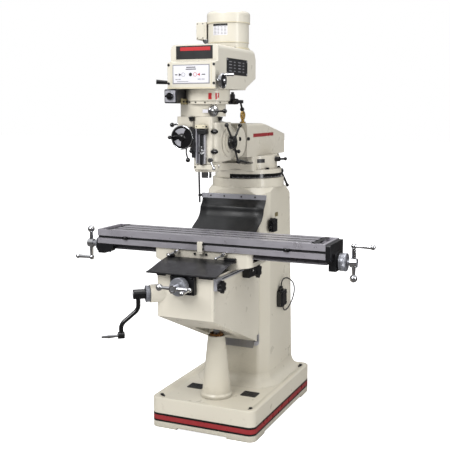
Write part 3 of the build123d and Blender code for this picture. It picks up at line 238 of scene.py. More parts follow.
def machined(
    name, colour, shade, stretch, roughness=(0.26, 0.42), scrape=None, metallic=0.85, edge=0.0012,
    dark_below=0,
):
    """Bare steel: fine grinding lines along one axis, a dark oily tone with painted shade in the corners,
    bright rubbed edges.
    """
    steel = Finish(name, colour, metallic=metallic, roughness=0.35)
    steel.round_edges(edge)
    lines = steel.noise(330, stretch=stretch, detail=4, rough=0.7)
    steel.tint(steel.spread(lines, 0.3, 0.7, 0, 0.55), shade)
    steel.clouds(9, 6, 0.5, 0.8, 0.4, shaded(shade, 0.6))
    # Below a given height the steel turns nearly black: painted shade under an overhang, partly standing for
    # a dark oxide.
    if dark_below:
        axes = add(steel.tree, "SeparateXYZ")
        steel.link(steel.coordinates, axes.inputs["Vector"])
        steel.tint(
            steel.spread(axes.outputs["Z"], dark_below, dark_below - 0.0006, 0, 0.9), linear(26, 25, 26),
        )
    # Painted shade: a dark oily brown through corners and crevices, partly standing for oil.
    steel.grime_and_shade(0.02, 0.6, linear(62, 56, 46))
    steel.tint(steel.spread(steel.edges(0.0015), 0, 1, 0, 0.5), linear(215, 215, 220))
    if scrape:
        steel.bump(steel.cells(scrape), 0.00008, 0.35)
    steel.bump(lines, 0.00005, 0.6)
    steel.polish(22, 5, roughness)
    return steel.material


def plated(name, colour, shade, roughness=(0.05, 0.17)):
    """Bright plating with faint handling marks and a slightly uneven polish."""
    plate = Finish(name, colour, metallic=1.0, roughness=0.1)
    plate.round_edges(0.0008)
    plate.clouds(60, 6, 0.5, 0.75, 0.5, shade)
    # Painted shade: a dark grey through corners and crevices, partly standing for grime.
    plate.grime_and_shade(0.008, 0.6, linear(60, 58, 55))
    plate.bump(plate.noise(180, detail=3), 0.00003, 0.4)
    patches = plate.spread(plate.noise(35, detail=5), 0.35, 0.7, *roughness)
    plate.link(patches, plate.shader.inputs["Roughness"])
    return plate.material


def dark(
    name, colour, worn, roughness=(0.22, 0.4), grain=500, depth=0.00006, coat=0.0, metallic=0.0, wear=0.5,
):
    """Black parts: moulded knobs, black oxide and rubber, with dust, rubbed edges and a fine surface."""
    black = Finish(name, colour, metallic=metallic, roughness=0.3, coat=coat)
    black.round_edges(0.0012)
    black.clouds(11, 6, 0.5, 0.85, 0.5, shaded(colour, 1.5, 0.002))
    rubbed = black.times(black.edges(0.0012), black.spread(black.noise(160, detail=5), 0.45, 0.65, 0, wear))
    black.tint(rubbed, worn)
    black.bump(black.noise(grain, detail=3), depth, 0.6)
    black.polish(20, 5, roughness)
    return black.material


def printed(name, colour, shade, roughness=(0.35, 0.5)):
    """Printed or painted plates: a flat colour with fine speckle, faded and a little scuffed."""
    plate = Finish(name, colour, roughness=0.4, coat=0.2)
    plate.clouds(30, 6, 0.4, 0.8, 0.45, shade)
    plate.bump(plate.noise(650, detail=2), 0.00003, 0.5)
    plate.polish(25, 4, roughness)
    return plate.material


CHIP = linear(120, 112, 100)
IVORY = enamel("ivory_paint", linear(224, 218, 203), linear(213, 206, 189), CHIP)
IVORY_SHEET = enamel(
    "ivory_sheet", linear(225, 220, 206), linear(215, 209, 193), CHIP, ripple=0.00006, edge=0.004,
)
IVORY_CAST = enamel(
    "ivory_cast", linear(223, 217, 201), linear(212, 205, 187), CHIP, ripple=0.00018, edge=0.008,
)
# The table's dovetail below a height of 0.9574 m gets painted shade under the table's top, partly standing
# for a dark oxide.
TABLE_STEEL = machined(
    "table_steel", linear(196, 193, 201), linear(168, 165, 173), (0.02, 1, 1), metallic=0.55,
    dark_below=0.9574,
)
WAY_STEEL = machined("way_steel", linear(176, 176, 182), linear(146, 146, 152), (1, 1, 0.05), scrape=160)
TURNED_STEEL = machined("turned_steel", linear(186, 187, 192), linear(150, 151, 158), (0.1, 0.1, 1))
DIAL = machined("dial_metal", linear(158, 160, 167), linear(132, 134, 142), (0.5, 0.5, 0.5), metallic=0.5)
CHROME = plated("chrome", linear(226, 227, 230), linear(186, 188, 194))
BRONZE = plated("bronze", linear(186, 132, 84), linear(148, 100, 60), roughness=(0.22, 0.36))
ZINC = plated("zinc_plate", linear(190, 156, 92), linear(166, 140, 104), roughness=(0.24, 0.4))
BLACK_STEEL = dark(
    "black_steel", linear(26, 26, 29), linear(120, 118, 116), roughness=(0.26, 0.42), metallic=0.2,
)
BLACK_GLOSS = dark("black_gloss", linear(16, 16, 18), linear(52, 52, 54), roughness=(0.1, 0.22), coat=0.4)
BLACK_MATT = dark("black_plastic", linear(24, 24, 27), linear(70, 70, 70), roughness=(0.36, 0.52))
RUBBER = dark(
    "rubber", linear(18, 19, 21), linear(46, 46, 48), roughness=(0.3, 0.46), grain=900, depth=0.00008,
    wear=0.2,
)
RED = printed("stripe_red", linear(162, 48, 52), linear(140, 38, 44), roughness=(0.24, 0.36))
STRIPE_BLACK = printed("stripe_black", linear(24, 20, 20), linear(38, 32, 30), roughness=(0.24, 0.36))
WHITE_PLATE = printed("white_plate", linear(233, 232, 238), linear(222, 221, 230))
GREY_PRINT = printed("grey_print", linear(150, 150, 156), linear(122, 122, 130))
BLACK_PRINT = printed("black_print", linear(28, 28, 30), linear(44, 44, 46))
RED_PRINT = printed("red_print", linear(196, 40, 46), linear(178, 34, 42))
SILVER_PLATE = machined(
    "silver_plate", linear(205, 205, 212), linear(180, 180, 188), (1, 1, 0.05), metallic=0.5,
)
OLIVE = printed("olive", linear(128, 118, 84), linear(106, 98, 70))
CREAM = printed("cream", linear(222, 214, 188), linear(206, 196, 166))

NODES_OF = [
    (IVORY_CAST, "column_base pedestal"), (WAY_STEEL, "column_ways knee_ways"),
    (BRONZE, "elevating_nut cross_nut table_nut"), (SILVER_PLATE, "guard_strip stop_rail"),
    (BLACK_MATT, "coolant_pipe column_boxes knee_lock_knob knee_clamp_knob switch_box brake_lever"),
    (RUBBER, "cable_loop drive_belt"),
    (IVORY, "knee saddle turret ram ram_adapter head_casting gear_housing drum"),
    (BLACK_STEEL, "cross_bracket table_brackets ram_lock_lever turret_lock_lever"),
    (CHROME, "saddle_lock_left saddle_lock_right table_cranks cross_crank knee_crank_grip quill"),
    (CHROME, "spindle speed_wheel quill_lock_lever"), (TABLE_STEEL, "table"),
    (TURNED_STEEL, "table_screw cross_screw knee_crank_shaft elevating_screw quill_stop"),
    (DIAL, "table_dials cross_dial knee_crank_dial spindle_pulley motor_pulley"),
    (BLACK_GLOSS, "knee_crank_arm switch_knob feed_hub fine_feed_wheel range_lever"), (ZINC, "lifting_eye"),
    (IVORY_SHEET, "belt_housing motor junction_box"),
]
for material, names in NODES_OF:
    for node in names.split():
        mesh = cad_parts[node].data
        mesh.materials.clear()
        mesh.materials.append(material)

# ==== Mesh pieces ====


def block(low, high):
    """A closed box between two corners."""
    corners = [(x, y, z) for x in (low[0], high[0]) for y in (low[1], high[1]) for z in (low[2], high[2])]
    return corners, [(0, 1, 3, 2), (4, 6, 7, 5), (0, 4, 5, 1), (2, 3, 7, 6), (0, 2, 6, 4), (1, 5, 7, 3)]


def side_axes(axis):
    """Two directions square to an axis."""
    axis = Vector(axis).normalized()
    first = axis.cross(Z if abs(axis.z) < 0.9 else X).normalized()
    return axis, first, axis.cross(first)


def ring_radius(radius, shape, turn):
    """A ring's radius at one angle: round, six-sided, or with that many lobes."""
    if shape == "hex":
        return radius / cos((turn + pi / 6) % (pi / 3) - pi / 6)
    if shape:
        return radius * (1 + 0.5 * shape[1] * (cos(shape[0] * turn) - 1))
    return radius


def wall(count, here, there):
    """The faces between two rings of points."""
    return [(here + i, here + (i + 1) % count, there + (i + 1) % count, there + i) for i in range(count)]


def skin(rows, steps):
    """The faces of a closed form through rows of points, with a cap at each end."""
    faces = [face for row in range(rows - 1) for face in wall(steps, row * steps, (row + 1) * steps)]
    last = (rows - 1) * steps
    return [*faces, tuple(reversed(range(steps))), tuple(range(last, last + steps))]


def spin(origin, axis, rings, steps=36):
    """A closed turned form. A ring is (distance along the axis, radius, shape or nothing)."""
    axis, first, second = side_axes(axis)
    origin = Vector(origin)
    points = []
    for ring in rings:
        shape = ring[2] if len(ring) > 2 else None
        for step in range(steps):
            turn = 2 * pi * step / steps
            radius = ring_radius(ring[1], shape, turn)
            points.append(origin + axis * ring[0] + first * radius * cos(turn) + second * radius * sin(turn))
    return points, skin(len(rings), steps)


def ball(centre, radius, steps=24):
    """A turned knob with small flats at its poles."""
    rows = 12
    angles = [pi * (row + 0.35) / (rows - 0.3) for row in range(rows)]
    return spin(centre, Z, [(-radius * cos(a), radius * sin(a)) for a in angles], steps)


def prism(outline, origin, across, upward, depth):
    """A closed plate: an outline in two directions, made thick along their cross product."""
    across, upward, origin = Vector(across), Vector(upward), Vector(origin)
    out = across.cross(upward).normalized() * depth
    count = len(outline)
    points = [origin + across * a + upward * b for a, b in outline]
    points += [p + out for p in points]
    return points, [tuple(reversed(range(count))), tuple(range(count, 2 * count)), *wall(count, 0, count)]


def rounded(half_a, half_b, radius, steps=5):
    """The outline of a rectangle with rounded corners."""
    outline = []
    for corner, (side_a, side_b) in enumerate(((1, 1), (-1, 1), (-1, -1), (1, -1))):
        for step in range(steps + 1):
            turn = pi / 2 * (corner + step / steps)
            outline.append(
                (
                    side_a * (half_a - radius) + radius * cos(turn),
                    side_b * (half_b - radius) + radius * sin(turn),
                )
            )
    return outline


def loops(sections):
    """A closed band through section loops of equal count, joined from the last back to the first."""
    count = len(sections[0])
    starts = [count * row for row in range(len(sections))]
    faces = [face for here, there in zip(starts, starts[1:] + [0]) for face in wall(count, here, there)]
    return [p for section in sections for p in section], faces


def circle(centre, radius, steps, first=0.0):
    """Points round a circle in the first two directions."""
    turns = [first + 2 * pi * step / steps for step in range(steps)]
    return [(centre[0] + radius * cos(turn), centre[1] + radius * sin(turn)) for turn in turns]


def band(outer, inner, low, high):
    """A flat closed ring between an outer and an inner outline and two heights."""
    return loops(
        [
            [(a, b, low) for a, b in outer], [(a, b, high) for a, b in outer],
            [(a, b, high) for a, b in inner], [(a, b, low) for a, b in inner],
        ]
    )


def smooth_path(route, steps=8):
    """Points along a smooth curve through a route."""
    route = [Vector(p) for p in route]
    ends = [route[0] * 2 - route[1], *route, route[-1] * 2 - route[-2]]
    path = []
    for before, start, end, after in zip(ends, ends[1:], ends[2:], ends[3:]):
        for step in range(steps):
            t = step / steps
            path.append(
                0.5 * (
                    2 * start + (end - before) * t + (
                        2 * before - 5 * start + 4 * end - after
                    ) * t * t + (3 * start - before - 3 * end + after) * t**3
                )
            )
    return [*path, route[-1]]


def tube(route, radius, end_radius=None, steps=14, smooth=8):
    """A closed round bar along a smooth route, tapered where an end radius is given."""
    path = smooth_path(route, smooth) if len(route) > 2 else [Vector(p) for p in route]
    end_radius = radius if end_radius is None else end_radius
    first = side_axes(path[1] - path[0])[1]
    points = []
    for i, point in enumerate(path):
        along = (path[min(i + 1, len(path) - 1)] - path[max(i - 1, 0)]).normalized()
        first = (first - along * first.dot(along)).normalized()
        second = along.cross(first)
        here = radius + (end_radius - radius) * i / (len(path) - 1)
        for step in range(steps):
            turn = 2 * pi * step / steps
            points.append(point + (first * cos(turn) + second * sin(turn)) * here)
    return points, skin(len(path), steps)


def curved_plate(centre, radius, start, end, low, high, thick, steps=10):
    """A closed plate on an upright cylinder. Angles are in degrees from the front towards +X."""
    rows = []
    for step in range(steps + 1):
        turn = radians(start + (end - start) * step / steps)
        out = Vector((sin(turn), -cos(turn), 0))
        base = Vector((centre[0], centre[1], 0))
        inner, outer = base + out * (radius - 1), base + out * (radius + thick)
        rows.append([inner + Z * low, outer + Z * low, outer + Z * high, inner + Z * high])
    points = [p for row in rows for p in row]
    faces = [(0, 3, 2, 1), tuple(4 * steps + i for i in range(4))]
    for row in range(steps):
        faces += wall(4, 4 * row, 4 * row + 4)
    return points, faces


def piece(name, body, material, *forms, bevel=0.0, sharp=38):
    """Joins closed forms into one object that rides on a body."""
    points, faces = [], []
    for form_points, form_faces in forms:
        start = len(points)
        points += [Vector(p) * MM for p in form_points]
        faces += [tuple(start + i for i in face) for face in form_faces]
    mesh = bpy.data.meshes.new(name)
    mesh.from_pydata([tuple(p) for p in points], [], faces)
    mesh.materials.append(material)
    mesh.validate()
    obj = bpy.data.objects.new(name, mesh)
    scene.collection.objects.link(obj)
    work = bmesh.new()
    work.from_mesh(mesh)
    bmesh.ops.recalc_face_normals(work, faces=work.faces)
    work.to_mesh(mesh)
    work.free()
    mesh.shade_smooth()
    mesh.set_sharp_from_angle(angle=radians(sharp))
    if bevel:
        modifier = obj.modifiers.new("soft_edges", "BEVEL")
        modifier.width = bevel * MM
        modifier.segments = 2
        modifier.limit_method = "ANGLE"
        modifier.angle_limit = radians(35)
        modifier.harden_normals = True
    if body:
        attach(obj, body)
    return obj


def on_head(name, material, *forms, **style):
    """A piece that rides on the head."""
    return piece(name, "head_body", material, *forms, **style)


def cap_screw(at, axis, radius, height=None):
    """A socket-head screw: a chamfered head with a six-sided recess."""
    height = radius * 1.1 if height is None else height
    return spin(
        at, axis,
        [
            (-1, radius), (height - 0.7, radius), (height, radius - 0.7), (height, radius * 0.55, "hex"),
            (height * 0.45, radius * 0.52, "hex"),
        ],
        24,
    )


def hex_bolt(at, axis, radius, height):
    """A six-sided head on a round washer face."""
    return spin(
        at, axis,
        [
            (-1, radius * 1.15), (1.2, radius * 1.15), (1.2, radius * 0.87, "hex"),
            (height - 1, radius * 0.87, "hex"), (height, radius * 0.75),
        ],
        24,
    )


def round_screw(at, axis, radius):
    """A low domed screw head."""
    return spin(
        at, axis,
        [
            (-1, radius), (radius * 0.15, radius), (radius * 0.5, radius * 0.75),
            (radius * 0.62, radius * 0.3),
        ],
        20,
    )


def graduations(centre, axis, radius, base, count, long_mark, short_mark, width=0.5):
    """Dial marks: thin raised lines round a drum, with every fifth one longer."""
    axis, first, second = side_axes(axis)
    forms = []
    for number in range(count):
        turn = 2 * pi * number / count
        out = first * cos(turn) + second * sin(turn)
        side = axis.cross(out)
        reach = long_mark if number % 5 == 0 else short_mark
        outline = [(-width / 2, 0), (width / 2, 0), (width / 2, reach), (-width / 2, reach)]
        start = Vector(centre) + out * (radius - 0.5) + axis * base
        forms.append(prism(outline, start, side, axis, -0.7 if side.cross(axis).dot(out) < 0 else 0.7))
    return forms


# ==== The cable at the lower box ====

CABLE_X, GLAND_Y = 0.2, 0.186
CABLE_ROUTE = [
    (CABLE_X, GLAND_Y, 0.672), (CABLE_X, GLAND_Y + 0.004, 0.692), (CABLE_X + 0.001, GLAND_Y + 0.028, 0.708),
    (CABLE_X + 0.002, 0.262, 0.706), (CABLE_X + 0.005, 0.318, 0.688), (CABLE_X + 0.008, 0.376, 0.654),
    (CABLE_X + 0.009, 0.392, 0.606), (CABLE_X + 0.007, 0.358, 0.556), (CABLE_X + 0.003, 0.3, 0.522),
    (CABLE_X, 0.232, 0.514), (CABLE_X, 0.212, 0.556),
]
cable_line = bpy.data.curves.new("box_cable", "CURVE")
cable_line.dimensions = "3D"
cable_line.bevel_depth = 0.0035
cable_line.bevel_resolution = 5
cable_line.use_fill_caps = True
cable_spline = cable_line.splines.new("NURBS")
cable_spline.points.add(len(CABLE_ROUTE) - 1)
for cable_point, place in zip(cable_spline.points, CABLE_ROUTE):
    cable_point.co = (*place, 1)
cable_spline.order_u = 3
cable_spline.use_endpoint_u = True
cable_spline.resolution_u = 12
cable_line.materials.append(RUBBER)
cable = bpy.data.objects.new("box_cable", cable_line)
scene.collection.objects.link(cable)
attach(cable, "root")
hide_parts("cable_loop")

# ==== Base and column ====

base_low, base_high = node_box("column_base")
BASE_HALF_X, BASE_HALF_Y = (base_high.x - base_low.x) / 2, (base_high.y - base_low.y) / 2
BASE_CORNER = 38
outer_line = rounded(BASE_HALF_X + 0.5, BASE_HALF_Y + 0.5, BASE_CORNER + 0.5, 12)
inner_line = rounded(BASE_HALF_X - 2, BASE_HALF_Y - 2, BASE_CORNER - 2, 12)
piece("base_stripe_red", "root", RED, band(outer_line, inner_line, 43, 67))
piece(
    "base_stripe_black", "root", STRIPE_BLACK,
    band(outer_line, inner_line, 67, 78),
    band(outer_line, inner_line, 33, 43),
)

PAN = 150


def fillet_foot(outline, corner, reach, limit_y):
    """A concave skirt where an upright casting meets the pan."""
    centre = Vector((sum(p[0] for p in outline), sum(p[1] for p in outline))) / len(outline)
    corners = [Vector(p) for p in outline]
    arcs = []
    for before, here, after in zip(corners[-1:] + corners[:-1], corners, corners[1:] + corners[:1]):
        to_before, to_after = (before - here).normalized(), (after - here).normalized()
        half = to_before.angle(to_after) / 2
        middle = here + (to_before + to_after).normalized() * corner / sin(half)
        start = Vector((to_before.y, -to_before.x))
        end = Vector((-to_after.y, to_after.x))
        if start.dot(here - centre) < 0:
            start = -start
        if end.dot(here - centre) < 0:
            end = -end
        arcs.append((middle, start, end))
    sections = []
    rows = 9
    for row in range(rows + 1):
        turn = pi / 2 * row / rows
        offset, rise = reach * (1 - cos(turn)), reach * (1 - sin(turn))
        line = []
        for middle, start, end in arcs:
            for step in range(7):
                out = (start * (6 - step) + end * step).normalized()
                point = middle + out * (corner + offset)
                line.append((point.x, min(point.y, limit_y), PAN + rise))
        sections.append(line)
    sections.append([(x, y, PAN - 1) for x, y, _ in sections[-1]])
    inward = [
        (centre.x + (x - centre.x) * 0.97, centre.y + (y - centre.y) * 0.97, PAN - 1)
        for x, y, _ in sections[0]
    ]
    sections.append(inward)
    sections.append([(x, y, PAN + reach) for x, y, _ in inward])
    return loops(sections)


COLUMN_FOOT = [(-145, -20), (145, -20), (185, 50), (185, 438), (-185, 438), (-185, 50)]
piece("column_foot", "root", IVORY_CAST, fillet_foot(COLUMN_FOOT, 24, 62, 437.5), sharp=60)


def drain_screen(x, y, half_x, half_y):
    """A punched plate set in the chip pan, over a dark plate that paints the shade of the drain beneath."""
    pitch, hole = 8.0, 2.6
    columns, rows = int(2 * half_x // pitch), int(2 * half_y // pitch)
    left, front = x - columns * pitch / 2, y - rows * pitch / 2
    octagon = circle((0, 0), 1, 8, pi / 8)
    points, faces = [], []
    for column in range(columns):
        for row in range(rows):
            centre_x, centre_y = left + (column + 0.5) * pitch, front + (row + 0.5) * pitch
            start = len(points)
            for height in (PAN + 2.4, PAN + 1.2):
                for a, b in octagon:
                    edge = pitch / 2 / max(abs(a), abs(b))
                    points.append((centre_x + edge * a, centre_y + edge * b, height))
                points += [(centre_x + hole * a, centre_y + hole * b, height) for a, b in octagon]
            for here, there in ((0, 8), (24, 16), (8, 24), (16, 0)):
                faces += wall(8, start + here, start + there)
    # Painted shade: the dark plate under the holes stands for the unlit drain below the screen.
    drain_shade = block((x - half_x + 2, y - half_y + 2, PAN - 1), (x + half_x - 2, y + half_y - 2, PAN + 0.6))
    lip = [rounded(half_x + grow, half_y + grow, 4 + grow) for grow in (2, -2)]
    frame_ring = band(*[[(x + a, y + b) for a, b in line] for line in lip], PAN - 1, PAN + 3.4)
    return [(points, faces), drain_shade, frame_ring]


for side, x in (("left", -156), ("right", 160)):
    piece(f"drain_screen_{side}", "root", BLACK_STEEL, *drain_screen(x, -172, 41, 33))

piece(
    "anchor_bolts", "root", BLACK_STEEL,
    *[
        spin((x, y, PAN), Z, [(0, 15), (6, 15), (7, 14), (7, 8.5, "hex"), (15, 8.5, "hex"), (16, 7)])
        for x in (-253, 253) for y in (-388, 388)
    ],
)

strip_low, strip_high = node_box("guard_strip")
strip_middle = (strip_low.z + strip_high.z) / 2
piece(
    "guard_strip_screws", "root", BLACK_STEEL,
    *[round_screw((x, strip_low.y, strip_middle), -Y, 4.5) for x in (-134, -54, 46, 126)],
)

piece(
    "upper_box_fittings", "root", BLACK_GLOSS,
    block((188, 22.5, 1006), (210, 26.5, 1061)),
    block((189, 40, 1066), (207, 68, 1073)),
    spin((196, 23, 1027), -Y, [(0, 7), (7, 7), (9, 5)]),
    spin((212, 54, 1040), X, [(0, 9), (4, 9), (5, 6)]),
    bevel=1.2,
)
piece("column_side_label", "root", OLIVE, block((184.5, 116, 1072), (186.5, 162, 1094)), bevel=0.5)
piece(
    "lower_box_fittings", "root", BLACK_GLOSS,
    block((188, 155.5, 563), (212, 159.5, 640)),
    block((214, 166, 566), (217, 234, 637)),
    spin((200, 186, 646), Z, [(-1, 13), (5, 13), (5, 11.5, "hex"), (15, 11.5, "hex"), (17, 10), (25.5, 6)]),
    spin((200, 212, 557), -Z, [(-1, 10), (4, 10, "hex"), (12, 5)]),
    *[cap_screw((217, y, z), X, 3.5) for y in (173, 227) for z in (573, 630)],
    bevel=1.0,
)

# The knee's lower stop stands on the column's right-hand way.
piece("knee_stop_bracket", "root", SILVER_PLATE, block((133, -58, 384), (152, -22, 446)), bevel=2)
piece("knee_stop_screw", "root", BLACK_STEEL, cap_screw((142, -58, 416), -Y, 7))

# ==== Turret and ram ====

TURRET_AXIS = (0, 180)
piece(
    "turret_scale", "turret_body", BLACK_GLOSS,
    curved_plate(TURRET_AXIS, 185, -10, 215, 1286, 1309, 0.8, 60),
    bevel=0.3,
)
turret_marks = [
    curved_plate(
        TURRET_AXIS, 185.8, angle - 0.12, angle + 0.12, 1288, 1292 + (3 if angle % 5 == 0 else 0), 0.3, 1,
    )
    for angle in range(-5, 215, 2)
]
piece("turret_scale_marks", "turret_body", WHITE_PLATE, *turret_marks)
piece(
    "turret_label", "turret_body", BLACK_PRINT,
    curved_plate(TURRET_AXIS, 161, 30, 56, 1368, 1388, 0.8, 12),
)
piece(
    "turret_bolts", "turret_body", BLACK_STEEL,
    *[
        hex_bolt((173 * sin(radians(a)), TURRET_AXIS[1] - 173 * cos(radians(a)), 1332), Z, 9, 10)
        for a in (60, 120, 240, 300)
    ],
    bevel=0.4,
)

RAM_SIDE = 100


def ram_stripe(side):
    """The red stripe along the ram's flank."""
    at = side * RAM_SIDE
    outline = [(6, 1507), (306, 1509), (306, 1527), (6, 1526)]
    across = Y if side > 0 else -Y
    points = outline if side > 0 else [(-a, b) for a, b in reversed(outline)]
    return prism(points, (at - side * 0.6, 0, 0), across, Z, 1.1)


piece("ram_stripe_right", "ram_body", RED, ram_stripe(1))
piece("ram_stripe_left", "ram_body", RED, ram_stripe(-1))
piece(
    "ram_gib_screws", "ram_body", BLACK_STEEL,
    *[cap_screw((x * RAM_SIDE, -72, 1501), X * x, 9) for x in (-1, 1)],
    bevel=0.4,
)
piece(
    "adapter_bolts", "adapter_body", BLACK_STEEL,
    *[
        spin((x * 94, -168, 1503), X * x, [(0, 11), (5, 11), (7, 9), (7, 5, "hex"), (4, 5, "hex")])
        for x in (-1, 1)
    ],
    *[
        hex_bolt((88 * sin(radians(a)), -197, 1489 + 88 * cos(radians(a))), Y, 9, 9)
        for a in (45, 135, 225, 315)
    ],
    bevel=0.4,
)
TILT_AXIS = Vector((0, -233, 1489))
piece(
    "tilt_scale", "adapter_body", BLACK_STEEL,
    *[
        prism(
            [(-0.5, 0), (0.5, 0), (0.5, mark), (-0.5, mark)], TILT_AXIS + out * 105.2, out.cross(-Y), Y,
            0.7,
        )
        for angle in range(-60, 61, 5) for mark in [12 if angle % 10 == 0 else 7]
        for out in [Vector((sin(radians(angle)), 0, cos(radians(angle))))]
    ],
)
piece(
    "ram_pinion_handle", "turret_body", BLACK_GLOSS,
    tube([(98, -8, 1372), (104, -60, 1374), (106, -120, 1380)], 7, 9),
    tube([(106, -120, 1380), (108, -205, 1392)], 11, 13),
    ball((108, -208, 1392), 13),
)

# ==== Head ====

SPINDLE = (0, -365)

on_head(
    "head_clamp_nuts", BLACK_GLOSS,
    *[
        form for z in (1547, 1450)
        for form in (
            spin((79, -436, z), -Y, [(-6, 13), (6, 13), (6, 10, "hex"), (20, 10, "hex"), (22, 8)]),
            spin((70, -452, z), X, [(-3, 6), (0, 8), (28, 8), (31, 6)]),
        )
    ],
    bevel=0.5,
)
STOP_X, STOP_Y = 26, -478
stop_threads = [(step * 2.2, 7.8 if step % 2 else 6.4) for step in range(74)]
stop_screw = on_head("stop_screw", BLACK_STEEL, spin((STOP_X, STOP_Y, 1386), Z, stop_threads, 24), sharp=80)
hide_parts("quill_stop")
on_head("stop_top_plate", CREAM, block((0, -494, 1562), (52, -457.5, 1580)), bevel=2.5)
on_head(
    "stop_top_screws", BLACK_STEEL,
    cap_screw((52, -478, 1571), X, 4.5),
    *[round_screw((x, -494, 1571), -Y, 3) for x in (8, 44)],
)
on_head("stop_block", BLACK_MATT, block((12, -492, 1534), (56, -457.5, 1557)), bevel=4)
on_head(
    "stop_channel", SILVER_PLATE,
    block((-6, -476, 1392), (1, -457.5, 1562)),
    block((38, -476, 1392), (44, -457.5, 1562)),
    bevel=1,
)
on_head("stop_channel_back", GREY_PRINT, block((1, -461, 1392), (38, -457.2, 1562)), bevel=0.5)
on_head(
    "stop_nuts", CHROME,
    spin((STOP_X, STOP_Y, 1440), Z, [(0, 15, (28, 0.05)), (9, 15, (28, 0.05)), (10, 13)], 84),
    spin((STOP_X, STOP_Y, 1452), Z, [(0, 12, (24, 0.05)), (8, 12, (24, 0.05)), (9, 10)], 72),
    spin((STOP_X, STOP_Y, 1463), Z, [(0, 9.5, "hex"), (15, 9.5, "hex"), (16, 8)], 36),
)
on_head(
    "feed_trip_housing", BLACK_MATT,
    block((-27, -480, 1420), (-6, -457, 1562)),
    block((-42, -474, 1536), (-26, -458, 1570)),
    block((-38, -476, 1442), (-26, -460, 1470)),
    block((-14, -490, 1448), (-6, -470, 1500)),
    bevel=4,
)
on_head(
    "feed_trip_levers", BLACK_GLOSS,
    tube([(-58, -468, 1474), (-54, -480, 1444), (-45, -484, 1418)], 4.2, 3.6),
    ball((-43, -485, 1409), 11.5),
    tube([(-34, -474, 1458), (-28, -486, 1455)], 3.6),
    ball((-25, -490, 1453), 8),
    tube([(-112, -456, 1582), (-122, -464, 1580), (-132, -467, 1579)], 4.2),
    ball((-137, -468, 1578), 11),
)
on_head(
    "feed_selector_stem", CHROME,
    spin((-98, -452, 1584), Vector((-1, -0.3, -0.1)), [(-8, 9), (6, 9), (8, 6), (18, 6), (20, 4)]),
)
on_head("quill_collar_plate", IVORY, block((-24, -464, 1362), (98, -430, 1387)), bevel=5)
on_head(
    "quill_collar_screws", BLACK_STEEL,
    cap_screw((-14, -464, 1375), -Y, 4),
    cap_screw((88, -464, 1375), -Y, 4),
    *[cap_screw((50 * cos(a), SPINDLE[1] + 50 * sin(a), 1348), -Z, 4, 3) for a in (0.6, 2.5, 3.8, 5.6)],
)
WHEEL_X, WHEEL_Z = -76, 1518
piece(
    "fine_wheel_rim", "fine_feed", CHROME,
    loops(
        [
            [(a, -482 + depth, b) for a, b in circle((WHEEL_X, WHEEL_Z), reach, 64)]
            for reach, depth in [
                (56 + 3.6 * cos(turn), 4.2 * sin(turn)) for turn in [pi / 8 * k for k in range(16)]
            ]
        ]
    ),
    sharp=80,
)


def wheel_window(start, end):
    """A bright sector inset in the wheel's disc."""
    turns = [radians(start + (end - start) * step / 12) for step in range(13)]
    outline = [(44 * cos(turn), 44 * sin(turn)) for turn in turns]
    outline += [(20 * cos(turn), 20 * sin(turn)) for turn in reversed(turns)]
    return prism(outline, (WHEEL_X, -486, WHEEL_Z), X, Z, 1.2)


piece("fine_wheel_windows", "fine_feed", SILVER_PLATE, wheel_window(62, 140), wheel_window(205, 262))
piece(
    "fine_wheel_hub", "fine_feed", BLACK_GLOSS,
    spin((WHEEL_X, -486, WHEEL_Z), -Y, [(0, 20), (5, 18), (10, 14), (12, 8)]),
    spin((WHEEL_X - 48, -492, WHEEL_Z), -Y, [(-8, 5), (0, 6), (12, 8), (28, 9), (36, 6), (38, 3)]),
)
HUB = (-306, 1491)
piece(
    "feed_hub_cap", "feed_capstan", BLACK_GLOSS,
    spin((127, *HUB), X, [(0, 29), (2.5, 27), (4, 18), (4.2, 10), (2, 8)]),
    spin((106.6, *HUB), X, [(0, 34.2, (36, 0.03)), (8, 34.2, (36, 0.03)), (10, 33)], 144),
)
on_head(
    "return_spring_lever", BLACK_GLOSS,
    tube([(100, -272, 1456), (108, -252, 1449), (116, -236, 1444)], 4),
    ball((117, -232, 1443), 10),
)


def on_cylinder(radius, angle, height, centre=SPINDLE):
    """A point on an upright cylinder and its way out. Angles run in degrees from the front to +X."""
    turn = radians(angle)
    out = Vector((sin(turn), -cos(turn), 0))
    return Vector((centre[0], centre[1], height)) + out * radius, out


# Gear housing and drum. The housing has a flat facet between its two rounds.
# It faces 45.6 degrees from the front.
FACET = radians(45.6)
dial_out = Vector((sin(FACET), -cos(FACET), 0))
facet_along = Vector((-cos(FACET), -sin(FACET), 0))
dial_at = Vector((*SPINDLE, 1645)) + dial_out * 95
on_head(
    "feed_rate_dial", CHROME,
    spin(dial_at, dial_out, [(-4, 25), (8, 25), (10, 23), (12, 14), (16, 12), (18, 9)]),
    sharp=30,
)
on_head(
    "feed_rate_dial_rim", BLACK_STEEL,
    spin(dial_at + dial_out * 3, dial_out, [(0, 26, (36, 0.05)), (5, 26, (36, 0.05)), (6, 24)], 144),
)
on_head(
    "feed_rate_lever", BLACK_GLOSS,
    tube(
        [
            dial_at + dial_out * 14, dial_at + dial_out * 20 + Vector((22, 8, 0)),
            dial_at + dial_out * 22 + Vector((38, 16, 0)),
        ],
        5,
    ),
    ball(dial_at + dial_out * 22 + Vector((44, 18, 0)), 11.5),
)
label_at = dial_at + dial_out * 1.4 + facet_along * 38
on_head(
    "feed_rate_label", WHITE_PLATE,
    prism([(-11, -8), (17, -8), (17, 8), (-11, 8)], label_at, facet_along, -Z, 1),
)
on_head(
    "feed_rate_label_print", GREY_PRINT,
    *[
        prism([(a, -2), (a + 5, -2), (a + 5, 2), (a, 2)], label_at - dial_out * 0.4, facet_along, -Z, 1)
        for a in (-8, 1, 10)
    ],
)
